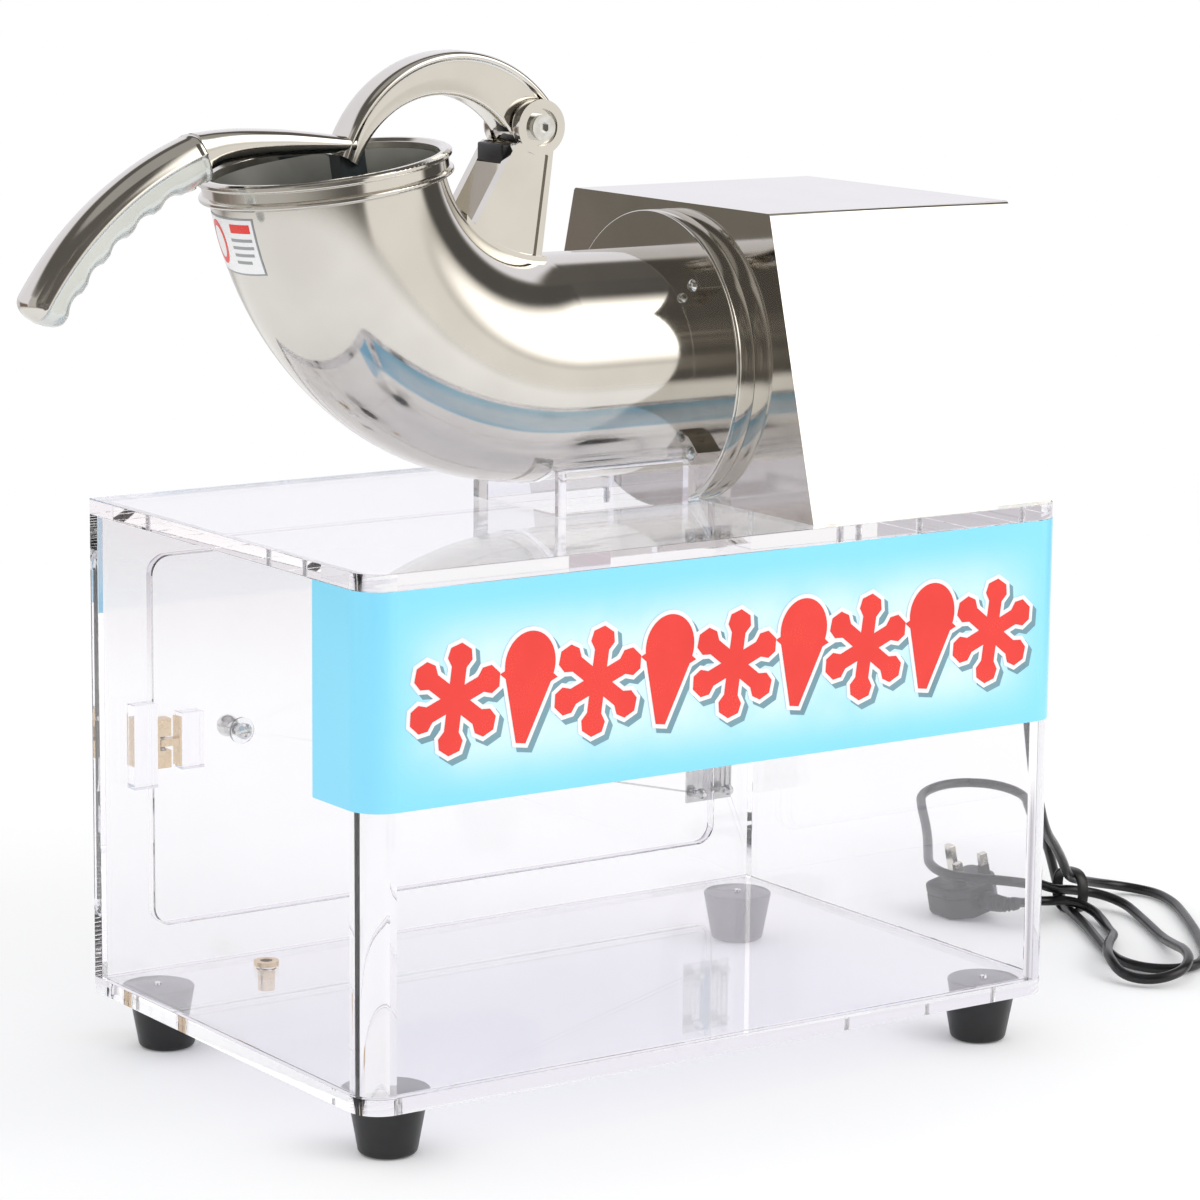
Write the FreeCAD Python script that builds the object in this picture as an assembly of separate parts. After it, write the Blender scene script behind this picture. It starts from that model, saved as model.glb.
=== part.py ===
"""Snow-cone (shaved ice) machine: an acrylic ice cabinet with a polished shaver on its lid.

Working frame: X runs along the cabinet, Y from front to back, Z up, with the origin at the
middle of the underside of the cabinet's base plate.  All sizes are in millimetres.  At the end
every solid is shifted so that the origin is the middle of the machine's footprint box, on the
surface that the feet stand on.
"""
import FreeCAD, Part
import math
import os

from FreeCAD import Vector

# ---------------------------------------------------------------- driving dimensions
CAB_LENGTH = 518.0          # cabinet, along X
CAB_DEPTH = 333.0           # cabinet, along Y
CAB_HEIGHT = 320.0          # underside of the base plate to the top of the lid plate
ACRYLIC = 10.0              # thickness of every acrylic plate
BEND = 20.0                 # outer radius of the bent front corners
GAP = 0.4                   # usual clearance between pieces that don't touch

FOOT_X, FOOT_Y = 225.0, 134.0
FOOT_TOP_R, FOOT_LOW_R, FOOT_HEIGHT = 23.5, 17.5, 33.0
DRAIN_X, DRAIN_Y = -147.0, 131.0
DRAIN_R, DRAIN_BORE, DRAIN_DROP = 5.5, 4.0, 14.0

DOOR_X0, DOOR_X1, DOOR_Z0, DOOR_Z1 = -214.0, 219.0, 40.0, 280.0
DOOR_GAP, DOOR_CORNER = 1.0, 12.0
LATCH_Z = 161.0
KNOB_X, KNOB_R, KNOB_HOLE_R = -150.0, 7.2, 2.1
HINGE_X, HINGE_OUT = 220.0, 3.4
HINGE_HEIGHT, HINGE_LEAF, HINGE_T = 50.0, 18.0, 1.5
HINGE_LOW_Z, HINGE_HIGH_Z = 68.0, 202.0
KNUCKLE_R, PIN_R = 2.9, 1.5

AXIS_Z = 406.5              # height of the horizontal feed tube and the motor shaft
TUBE_R, TUBE_WALL = 71.0, 1.5
ELBOW_R = 151.0             # bend radius of the elbow's centre line
ELBOW_X = -37.0             # where the straight tube ends and the elbow starts
MOUTH_TILT = 8.5            # lean of the mouth away from the upright, in degrees
RIM_R = 77.0
COVER_X, COVER_R, COVER_T = 52.9, 93.9, 2.0
HOUSING_X0, HOUSING_X1 = 66.6, 255.7
HOUSING_LOW, HOUSING_TOP = 156.0, 106.0      # half widths at the bottom and the top
HOUSING_HEIGHT, SHEET = 186.0, 1.5

PIVOT_X, PIVOT_Z = -43.5, 557.0
EAR_OUT, EAR_T = 18.0, 4.6
ARM_HALF = 12.0
ARM_OUTER = (-97.8, 517.2, 87.0)             # centre x, z and radius of the arch's outer edge
ARM_INNER = (-110.7, 516.4, 61.3)
GRIP_BEND = (-206.6, 357.8, 199.6)           # centre x, z and radius of the grip's centre line
GRIP_START, GRIP_SWEEP = 109.4, 41.5         # degrees round that centre
GRIP_TALL, GRIP_WIDE = 29.0, 30.0

STATOR_R, STATOR_BORE = 56.0, 33.0
SHAFT_R, BLADE_DISC_R = 6.0, 84.0

SWITCH_Y, SWITCH_Z = 62.0, 372.0

CORD_R = 3.5
FLOOR = -FOOT_HEIGHT
LEAD_ROUTE = [(283, -20, 345), (306, -20, 344), (327, -22, 335), (340, -25, 316), (344, -29, 288),
              (341, -34, 252), (338, -38, 210), (337, -43, 166), (339, -48, 124), (347, -46, 90),
              (369, -28, 64), (402, 0, 44), (436, 32, 24), (463, 57, 5), (486, 79, -8)]
CORD_EXIT = LEAD_ROUTE[0]
LOOP_ROUTE = [(487, 88, -27), (498, 107, -20), (510, 127, -10), (522, 148, 0), (538, 178, 7),
              (555, 206, 12), (573, 233, 16), (567, 265, 19), (540, 284, 19), (508, 278, 16),
              (488, 251, 12), (469, 223, 9), (448, 194, 6), (425, 165, 4), (404, 138, 2.5),
              (397, 106, 2), (418, 78, 2.5), (446, 71, -3), (468, 78, -12), (486, 82, -17)]
TAIL_ROUTE = [(484, 67, -21), (467, 79, -23), (450, 80, -20), (434, 77, -16)]
HANK_OUTLINE = [(466, 62, 8), (484, 100, 10), (540, 112, 24), (577, 103, 16), (577, 66, 40),
                (530, -14, 80), (484, -84, 60), (448, -118, 16), (410, -124, 18), (382, -96, 16),
                (396, -48, 40), (432, -8, 60)]
HANK_TOP = -16.0
TIE_AT = (487.0, 80.0)                       # middle of the tie that holds the hank
TIE_SIZE = (9.0, 31.0, 33.0)
PLUG_AT, PLUG_TURN, PLUG_TILT = (427.0, 120.0), -92.0, 12.0
PLUG_SIZE = (40.0, 45.0, 24.0)               # along the flex, across, tall
RELIEF_TIP = (42.7, 8.5)                     # end of its strain relief, along the flex and across

CABINET_BACK = CAB_DEPTH / 2
BACK_INNER = CABINET_BACK - ACRYLIC
X_AXIS, Y_AXIS, Z_AXIS = Vector(1, 0, 0), Vector(0, 1, 0), Vector(0, 0, 1)


# ---------------------------------------------------------------- shape helpers
def box(x0, x1, y0, y1, z0, z1):
    """Block between two opposite corners."""
    return Part.makeBox(x1 - x0, y1 - y0, z1 - z0, Vector(x0, y0, z0))


def rod(radius, start, end):
    """Cylinder between two points."""
    a, b = Vector(*start), Vector(*end)
    return Part.makeCylinder(radius, (b - a).Length, a, b - a)


def pipe(outer, inner, start, end):
    """Straight hollow cylinder between two points."""
    return rod(outer, start, end).cut(rod(inner, start, end))


def cone(radius0, radius1, start, end):
    """Tapered round bar between two points."""
    a, b = Vector(*start), Vector(*end)
    return Part.makeCone(radius0, radius1, (b - a).Length, a, b - a)


def place(plane, u, v, w):
    """Point from two in-plane coordinates and the offset along the plane's normal."""
    return {"XY": Vector(u, v, w), "XZ": Vector(u, w, v), "YZ": Vector(w, u, v)}[plane]


def outline_wire(outline, plane, offset):
    """Closed wire through corners (u, v, radius), each rounded by its radius."""
    corners = []
    count = len(outline)
    for i, (u, v, radius) in enumerate(outline):
        here = Vector(u, v, 0)
        back = Vector(outline[i - 1][0], outline[i - 1][1], 0).sub(here).normalize()
        ahead = Vector(outline[(i + 1) % count][0], outline[(i + 1) % count][1], 0)
        ahead = ahead.sub(here).normalize()
        if radius == 0:
            corners.append((here, None, here))
            continue
        half = back.getAngle(ahead) / 2
        middle = back.add(ahead).normalize()
        reach = radius / math.tan(half)
        tip = here + middle * (radius / math.sin(half) - radius)
        corners.append((here + back * reach, tip, here + ahead * reach))
    edges = []
    for i, (start, tip, end) in enumerate(corners):
        points = [place(plane, p.x, p.y, offset) for p in (start, tip or start, end)]
        if tip is not None:
            edges.append(Part.Arc(*points).toShape())
        after = corners[(i + 1) % count][0]
        target = place(plane, after.x, after.y, offset)
        if points[2].distanceToPoint(target) > 1e-6:
            edges.append(Part.LineSegment(points[2], target).toShape())
    return Part.Wire(edges)


def slab(outline, low, high, plane="XY"):
    """Plate with the given outline, between two offsets along its normal."""
    face = Part.Face(outline_wire(outline, plane, low))
    return face.extrude(place(plane, 0, 0, high - low))


def rectangle(u0, u1, v0, v1, radius=0):
    """Outline of a rectangle with equal corner radii."""
    return [(u0, v0, radius), (u1, v0, radius), (u1, v1, radius), (u0, v1, radius)]


def hexagon(across, centre, axis_length, axis="X"):
    """Hexagonal nut or head, starting at its centre and running along an axis."""
    plane = {"X": "YZ", "Y": "XZ", "Z": "XY"}[axis]
    start = {"X": centre[0], "Y": centre[1], "Z": centre[2]}[axis]
    u0, v0 = {"X": (1, 2), "Y": (0, 2), "Z": (0, 1)}[axis]
    corner = across / math.sqrt(3)
    ring = []
    for i in range(6):
        turn = math.radians(60 * i + 30)
        ring.append((centre[u0] + corner * math.cos(turn), centre[v0] + corner * math.sin(turn), 0))
    return slab(ring, min(start, start + axis_length), max(start, start + axis_length), plane)


def dome_head(radius, height, centre, direction):
    """Round screw head: the cap of a sphere standing on the point centre."""
    ball_r = (radius ** 2 + height ** 2) / (2 * height)
    axis = Vector(*direction).normalize()
    foot = Vector(*centre)
    ball = Part.makeSphere(ball_r, foot - axis * (ball_r - height))
    return ball.common(Part.makeCylinder(radius * 1.5, height * 2, foot, axis))


def turned(profile, x, y):
    """Solid of revolution about an upright axis from a closed (radius, z) profile."""
    face = Part.Face(outline_wire(profile, "XZ", 0))
    shape = face.revolve(Vector(0, 0, 0), Z_AXIS, 360)
    shape.translate(Vector(x, y, 0))
    return shape


def fused(shapes):
    """One solid from overlapping or touching shapes."""
    first, rest = shapes[0], shapes[1:]
    return first.fuse(rest).removeSplitter() if rest else first


def group(shapes):
    """Several separate solids kept in one sub-part."""
    return Part.makeCompound(shapes)


def route_tube(points, radius, name):
    """Round tube along straight runs joined by tangent arcs."""
    pts = [Vector(*p) for p in points]
    edges, here, length, tightest = [], pts[0], 0.0, 1e9
    for i in range(1, len(pts) - 1):
        back, ahead = (pts[i - 1] - pts[i]), (pts[i + 1] - pts[i])
        run = min(back.Length, ahead.Length)
        back.normalize()
        ahead.normalize()
        half_turn = (math.pi - back.getAngle(ahead)) / 2
        reach = 0.45 * run
        bend = reach / math.tan(half_turn)
        tightest = min(tightest, bend)
        middle = (back + ahead).normalize()
        tip = pts[i] + middle * (bend / math.cos(half_turn) - bend)
        start, end = pts[i] + back * reach, pts[i] + ahead * reach
        edges.append(Part.LineSegment(here, start).toShape())
        edges.append(Part.Arc(start, tip, end).toShape())
        length += here.distanceToPoint(start) + bend * 2 * half_turn
        here = end
    edges.append(Part.LineSegment(here, pts[-1]).toShape())
    length += here.distanceToPoint(pts[-1])
    ring = Part.Wire(Part.makeCircle(radius, pts[0], pts[1] - pts[0]))
    tube = Part.Wire(edges).makePipeShell([ring], True, True)
    share = tube.Volume / (math.pi * radius ** 2 * length)
    print(f"{name}: length {length:.0f} mm, tightest bend {tightest:.0f} mm, volume {share:.3f}")
    return tube


def at_angle(shape, centre, degrees, axis=Z_AXIS):
    """Copy of a shape turned about a point."""
    copy = shape.copy()
    copy.rotate(Vector(*centre), axis, degrees)
    return copy


# ---------------------------------------------------------------- cabinet
def plate_outline():
    """Base and lid outline: rounded front corners, square back corners."""
    half, front = CAB_LENGTH / 2, -CAB_DEPTH / 2
    return [(-half, front, BEND), (half, front, BEND), (half, CABINET_BACK, 0), (-half, CABINET_BACK, 0)]


def u_outline(offset, back):
    """Outline of the bent wrap at an inward offset from its outer face, open at the back."""
    half, front = CAB_LENGTH / 2 - offset, -CAB_DEPTH / 2 + offset
    radius = BEND - offset
    return [(-half, back, 0), (-half, front, radius), (half, front, radius), (half, back, 0)]


def foot_places():
    return [(x, y) for x in (-FOOT_X, FOOT_X) for y in (-FOOT_Y, FOOT_Y)]


def make_base():
    plate = slab(plate_outline(), 0, ACRYLIC)
    plate = plate.cut(rod(DRAIN_R + 1, (DRAIN_X, DRAIN_Y, -1), (DRAIN_X, DRAIN_Y, ACRYLIC + 1)))
    screws, feet = [], []
    for x, y in foot_places():
        plate = plate.cut(rod(2.1, (x, y, -1), (x, y, 7)))
        profile = [(2.2, -16, 0), (10, -16, 0), (10, -FOOT_HEIGHT, 0), (FOOT_LOW_R, -FOOT_HEIGHT, 3.5),
                   (FOOT_TOP_R, 0, 1.2), (2.2, 0, 0)]
        feet.append(turned(profile, x, y))
        screws.append(rod(2, (x, y, -18), (x, y, 6)).fuse(rod(4.5, (x, y, -19.5), (x, y, -16))))
    flange, shank = 8.2, DRAIN_R + 1
    spout = fused([rod(DRAIN_R, (DRAIN_X, DRAIN_Y, -DRAIN_DROP), (DRAIN_X, DRAIN_Y, 0)),
                   rod(shank, (DRAIN_X, DRAIN_Y, 0), (DRAIN_X, DRAIN_Y, ACRYLIC)),
                   rod(flange, (DRAIN_X, DRAIN_Y, ACRYLIC), (DRAIN_X, DRAIN_Y, ACRYLIC + 3))])
    bore = (DRAIN_X, DRAIN_Y, -DRAIN_DROP - 1), (DRAIN_X, DRAIN_Y, ACRYLIC + 4)
    spout = spout.cut(rod(DRAIN_BORE, *bore))
    return {"base_plate": plate, "rubber_feet": group(feet), "foot_screws": group(screws),
            "drain_spout": spout}


def make_walls():
    low, high = ACRYLIC, CAB_HEIGHT - ACRYLIC
    wrap = slab(u_outline(0, BACK_INNER), low, high).cut(slab(u_outline(ACRYLIC, BACK_INNER), low, high))
    half = CAB_LENGTH / 2
    window = rectangle(DOOR_X0 - DOOR_GAP, DOOR_X1 + DOOR_GAP, DOOR_Z0 - DOOR_GAP, DOOR_Z1 + DOOR_GAP,
                       DOOR_CORNER + DOOR_GAP)
    back = slab(rectangle(-half, half, low, high), BACK_INNER, CABINET_BACK, "XZ")
    back = back.cut(slab(window, BACK_INNER - 1, CABINET_BACK + 1, "XZ"))
    film, label_low, label_back = 0.4, 180.5, -106.0
    label = slab(u_outline(-film, label_back), label_low, high - 0.2)
    label = label.cut(slab(u_outline(0, label_back), label_low - 1, high + 1))
    return {"wrap_shell": wrap, "back_panel": back, "front_label": label}


def make_lid():
    """Lid plate with the ice opening, and the clear collar that stands round it."""
    reach_x0, reach_x1, half_y = -48.5, 50.0, 47.8
    inner_x0, inner_y = reach_x0 + ACRYLIC, half_y - ACRYLIC
    plate = slab(plate_outline(), CAB_HEIGHT - ACRYLIC, CAB_HEIGHT)
    opening = rectangle(inner_x0, HOUSING_X0 + GAP, -inner_y, inner_y)
    plate = plate.cut(slab(opening, CAB_HEIGHT - ACRYLIC - 1, CAB_HEIGHT + 1))
    for x, y in housing_screw_places():
        plate = plate.cut(rod(2.6, (x, y, CAB_HEIGHT - 15), (x, y, CAB_HEIGHT + 1)))
    collar = box(reach_x0, reach_x1, -half_y, half_y, CAB_HEIGHT, CAB_HEIGHT + 28)
    collar = collar.cut(box(inner_x0, reach_x1 + 1, -inner_y, inner_y, CAB_HEIGHT - 1, CAB_HEIGHT + 30))
    collar = collar.cut(tube_solid(TUBE_R + GAP))
    return {"top_plate": plate, "chute_collar": collar}


# ---------------------------------------------------------------- door, hinges and catch
def hinge_levels():
    return (HINGE_LOW_Z, HINGE_HIGH_Z)


def make_hinges():
    axis_y = CABINET_BACK + HINGE_OUT
    frame_leaves, door_leaves, pins, frame_screws, door_screws = [], [], [], [], []
    knuckles = 5
    knuckle = HINGE_HEIGHT / knuckles
    for level in hinge_levels():
        for side, leaves, screws in ((1, frame_leaves, frame_screws), (-1, door_leaves, door_screws)):
            near, far = HINGE_X + side * 1.2, HINGE_X + side * (HINGE_LEAF + 1.2)
            plate = box(min(near, far), max(near, far), CABINET_BACK, CABINET_BACK + HINGE_T,
                        level, level + HINGE_HEIGHT)
            solids = [plate]
            first = 0 if side == 1 else 1
            for i in range(first, knuckles, 2):
                z0, z1 = level + i * knuckle + 0.2, level + (i + 1) * knuckle - 0.2
                solids.append(rod(KNUCKLE_R, (HINGE_X, axis_y, z0), (HINGE_X, axis_y, z1)))
                web = sorted((HINGE_X + side * 0.6, near + side))
                solids.append(box(web[0], web[1], CABINET_BACK, axis_y, z0, z1))
            for i in range(1 - first, knuckles, 2):
                z0, z1 = level + i * knuckle, level + (i + 1) * knuckle
                solids[0] = solids[0].cut(rod(KNUCKLE_R + 0.3, (HINGE_X, axis_y, z0), (HINGE_X, axis_y, z1)))
            leaf = fused(solids)
            bore = PIN_R + 0.05
            low, high = (HINGE_X, axis_y, level - 1), (HINGE_X, axis_y, level + HINGE_HEIGHT + 1)
            leaf = leaf.cut(rod(bore, low, high))
            for z in (level + 7, level + HINGE_HEIGHT - 7):
                x = HINGE_X + side * 11.5
                leaf = leaf.cut(rod(1.8, (x, CABINET_BACK - 1, z), (x, CABINET_BACK + 4, z)))
                shank = rod(1.7, (x, BACK_INNER - 5, z), (x, CABINET_BACK + HINGE_T, z))
                head = dome_head(3.6, 1.8, (x, CABINET_BACK + HINGE_T, z), (0, 1, 0))
                nut = dome_head(4.0, 4.6, (x, BACK_INNER, z), (0, -1, 0))
                screws.append(fused([shank, head, nut]))
            leaves.append(leaf)
        pins.append(rod(PIN_R, (HINGE_X, axis_y, level), (HINGE_X, axis_y, level + HINGE_HEIGHT)))
    return {"hinge_frame_leaves": group(frame_leaves), "hinge_door_leaves": group(door_leaves),
            "hinge_pins": group(pins), "hinge_screws_frame": group(frame_screws),
            "hinge_screws_door": group(door_screws)}


def hinge_holes(shape):
    """Cut the through holes of the hinge screws."""
    for level in hinge_levels():
        for z in (level + 7, level + HINGE_HEIGHT - 7):
            for side in (1, -1):
                x = HINGE_X + side * 11.5
                shape = shape.cut(rod(1.8, (x, BACK_INNER - 1, z), (x, CABINET_BACK + 1, z)))
    return shape


def make_door():
    panel = slab(rectangle(DOOR_X0, DOOR_X1, DOOR_Z0, DOOR_Z1, DOOR_CORNER), BACK_INNER, CABINET_BACK, "XZ")
    inside, outside = (KNOB_X, BACK_INNER - 1, LATCH_Z), (KNOB_X, CABINET_BACK + 1, LATCH_Z)
    panel = hinge_holes(panel).cut(rod(KNOB_HOLE_R, inside, outside))
    knob = fused([Part.makeSphere(KNOB_R, Vector(KNOB_X, CABINET_BACK + 11.5, LATCH_Z)),
                  rod(4.2, (KNOB_X, CABINET_BACK, LATCH_Z), (KNOB_X, CABINET_BACK + 8, LATCH_Z))])
    knob = knob.cut(rod(2.05, (KNOB_X, CABINET_BACK - 1, LATCH_Z), (KNOB_X, CABINET_BACK + 7, LATCH_Z)))
    washer = pipe(8.7, 2.2, (KNOB_X, BACK_INNER, LATCH_Z), (KNOB_X, BACK_INNER - 1.6, LATCH_Z))
    head_at = BACK_INNER - 1.6
    screw = fused([rod(2.0, (KNOB_X, head_at - 1, LATCH_Z), (KNOB_X, CABINET_BACK + 6.5, LATCH_Z)),
                   rod(5.2, (KNOB_X, head_at - 3.4, LATCH_Z), (KNOB_X, head_at, LATCH_Z)),
                   dome_head(5.2, 1.4, (KNOB_X, head_at - 3.4, LATCH_Z), (0, -1, 0))])
    for cross in ((1.0, 3.4), (3.4, 1.0)):
        screw = screw.cut(box(KNOB_X - cross[0], KNOB_X + cross[0], head_at - 6, head_at - 2.4,
                              LATCH_Z - cross[1], LATCH_Z + cross[1]))
    return {"door_panel": panel, "door_knob": knob, "knob_washer": washer, "knob_screw": screw}


def make_catch():
    """Double-ball catch: a U-shaped body on the frame and a tongue on the door."""
    frame_x, door_x = (-233.4, -216.5), (-199.0, -183.0)
    frame_block = box(frame_x[0], frame_x[1], BACK_INNER - ACRYLIC, BACK_INNER, LATCH_Z - 28, LATCH_Z + 27)
    door_block = box(door_x[0], door_x[1], BACK_INNER - ACRYLIC, BACK_INNER, LATCH_Z - 18.5, LATCH_Z + 18.5)
    y0, y1 = BACK_INNER - ACRYLIC + 0.6, BACK_INNER - 0.8
    body_x = (frame_x[1], frame_x[1] + 10.0)
    body = box(body_x[0], body_x[1], y0, y1, LATCH_Z - 16, LATCH_Z + 16)
    body = body.cut(box(body_x[0] + 2, body_x[1] + 1, y0 - 1, y1 + 1, LATCH_Z - 4.6, LATCH_Z + 4.6))
    ball_x, ball_y, ball_r, tongue_half = body_x[0] + 5.6, (y0 + y1) / 2, 2.4, 2.2
    balls = {}
    for name, side in (("catch_ball_upper", 1), ("catch_ball_lower", -1)):
        z_ball = LATCH_Z + side * (tongue_half + 0.2 + ball_r)
        balls[name] = Part.makeSphere(ball_r, Vector(ball_x, ball_y, z_ball))
        well = sorted((LATCH_Z + side * 3, LATCH_Z + side * 13))
        body = body.cut(rod(ball_r + 0.4, (ball_x, ball_y, well[0]), (ball_x, ball_y, well[1])))
    plate = box(door_x[0] - 1.6, door_x[0], y0, y1, LATCH_Z - 16, LATCH_Z + 16)
    tongue = box(ball_x - 2.6, door_x[0] - 1.6, y0 + 0.4, y1 - 0.4,
                 LATCH_Z - tongue_half, LATCH_Z + tongue_half)
    strike = fused([plate, tongue])
    return {"catch_block_frame": frame_block, "catch_block_door": door_block, "catch_housing": body,
            "catch_strike": strike, **balls}


# ---------------------------------------------------------------- feed tube and mouth
def tube_solid(radius):
    """Solid core of the elbow and the straight tube at a given radius."""
    start = Vector(ELBOW_X, 0, AXIS_Z)
    disc = Part.Face(Part.Wire(Part.makeCircle(radius, start, X_AXIS)))
    bend = disc.revolve(Vector(ELBOW_X, 0, AXIS_Z + ELBOW_R), Y_AXIS, 90 - MOUTH_TILT)
    straight = rod(radius, (ELBOW_X, 0, AXIS_Z), (COVER_X, 0, AXIS_Z))
    return bend.fuse(straight)


def mouth_centre():
    lean = math.radians(MOUTH_TILT)
    return Vector(ELBOW_X - ELBOW_R * math.cos(lean), 0, AXIS_Z + ELBOW_R - ELBOW_R * math.sin(lean))


def make_tube():
    elbow = tube_solid(TUBE_R).cut(tube_solid(TUBE_R - TUBE_WALL))
    bead, lip, top = 2.4, 2.6, 5.5
    profile = [(TUBE_R, -10, 0), (RIM_R - bead, -10, 0), (RIM_R, -8.6, 1), (RIM_R, -6.4, 1),
               (RIM_R - bead, -5, 0), (RIM_R - bead, 0.4, 0), (RIM_R, 1.6, 1), (RIM_R, 4.4, 1.2),
               (RIM_R - lip, top, 1), (TUBE_R + 0.8, top, 1), (TUBE_R - TUBE_WALL, 3.6, 0.6),
               (TUBE_R - TUBE_WALL, 0.05, 0), (TUBE_R, 0.05, 0)]
    rim = Part.Face(outline_wire(profile, "XZ", 0)).revolve(Vector(0, 0, 0), Z_AXIS, 360)
    rim.rotate(Vector(0, 0, 0), Y_AXIS, -MOUTH_TILT)
    rim.translate(mouth_centre())
    rim = rim.cut(tube_solid(TUBE_R))
    return {"elbow_tube": elbow, "mouth_rim": rim}


def make_blade_housing():
    lug_turns = (42, 138, 222, 318)
    screw_r = TUBE_R + 7
    cover = pipe(COVER_R, TUBE_R - TUBE_WALL, (COVER_X, 0, AXIS_Z), (COVER_X + COVER_T, 0, AXIS_Z))
    drum = pipe(COVER_R, COVER_R - 3, (COVER_X + COVER_T, 0, AXIS_Z), (HOUSING_X0, 0, AXIS_Z))
    drum = drum.cut(box(COVER_X + 4, HOUSING_X0 + 1, -30, 30, CAB_HEIGHT - 20, AXIS_Z - 60))
    lugs, screws = [], []
    for turn in lug_turns:
        block = box(COVER_X - 9, COVER_X, -5.5, 5.5, AXIS_Z + TUBE_R - 3, AXIS_Z + screw_r + 5.5)
        block = block.cut(rod(TUBE_R, (COVER_X - 10, 0, AXIS_Z), (COVER_X, 0, AXIS_Z)))
        block = block.cut(rod(2.1, (COVER_X - 10, 0, AXIS_Z + screw_r), (COVER_X, 0, AXIS_Z + screw_r)))
        hole = rod(2.1, (COVER_X - 1, 0, AXIS_Z + screw_r), (COVER_X + 4, 0, AXIS_Z + screw_r))
        shank = rod(2.0, (COVER_X - 9.5, 0, AXIS_Z + screw_r), (COVER_X + COVER_T, 0, AXIS_Z + screw_r))
        head = dome_head(4.2, 3.0, (COVER_X - 9, 0, AXIS_Z + screw_r), (-1, 0, 0))
        middle = (0, 0, AXIS_Z)
        cover = cover.cut(at_angle(hole, middle, turn - 90, X_AXIS))
        lugs.append(at_angle(block, middle, turn - 90, X_AXIS))
        screws.append(at_angle(fused([shank, head]), middle, turn - 90, X_AXIS))
    return {"blade_cover": cover, "blade_housing": drum, "tube_lugs": group(lugs),
            "lug_screws": group(screws)}


def make_pivot_bracket():
    """Saddle on the elbow with two ribbed ears that carry the lever's pin."""
    foot = [(-98, 512, 0), (-98, 498, 0), (-60, 466, 0), (-39.5, 466, 0), (-39.5, 486, 0), (-90, 512, 0)]
    saddle = tube_solid(TUBE_R + 3).common(slab(foot, -EAR_OUT - 2, EAR_OUT + 2, "XZ"))
    saddle = saddle.cut(tube_solid(TUBE_R))
    ear_outline = [(-62, 548, 3), (-34.5, 545, 3), (-44, 470, 0), (-94, 496, 0)]
    boss_r, recess_r, rib = 17.0, 11.4, 1.6
    core = tube_solid(TUBE_R + 0.5)
    solids = [saddle]
    for side in (-1, 1):
        inner, outer = side * (EAR_OUT - EAR_T), side * EAR_OUT
        raised = side * (EAR_OUT + rib)
        ear = slab(ear_outline, min(inner, outer), max(inner, outer), "XZ")
        ear = ear.fuse(rod(boss_r, (PIVOT_X, inner, PIVOT_Z), (PIVOT_X, raised, PIVOT_Z)))
        ribs = slab(ear_outline, min(outer, raised), max(outer, raised), "XZ")
        hollow = [(-58.5, 543, 2), (-38.5, 541, 2), (-48, 474, 0), (-86, 498.5, 0)]
        ribs = ribs.cut(slab(hollow, -EAR_OUT - 4, EAR_OUT + 4, "XZ"))
        ear = ear.fuse(ribs)
        ear = ear.cut(rod(recess_r, (PIVOT_X, raised - side * 3, PIVOT_Z), (PIVOT_X, raised + side, PIVOT_Z)))
        solids.append(ear.cut(core))
    bracket = fused(solids)
    bracket = bracket.cut(rod(5.05, (PIVOT_X, -30, PIVOT_Z), (PIVOT_X, 30, PIVOT_Z)))
    seat = EAR_OUT + rib - 3
    bolt = fused([rod(5.0, (PIVOT_X, -seat, PIVOT_Z), (PIVOT_X, seat + 8, PIVOT_Z)),
                  rod(8.2, (PIVOT_X, -seat, PIVOT_Z), (PIVOT_X, -seat - 5.5, PIVOT_Z))])
    bolt = bolt.cut(hexagon(6.0, (PIVOT_X, -seat - 6, PIVOT_Z), 3.5, "Y"))
    nut = hexagon(15.0, (PIVOT_X, seat, PIVOT_Z), 6, "Y")
    nut = nut.fuse(dome_head(7.0, 5.0, (PIVOT_X, seat + 5, PIVOT_Z), (0, 1, 0)))
    nut = nut.cut(rod(5.0, (PIVOT_X, seat - 1, PIVOT_Z), (PIVOT_X, seat + 8, PIVOT_Z)))
    return {"pivot_bracket": bracket, "pivot_bolt": bolt, "pivot_nut": nut}


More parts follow.
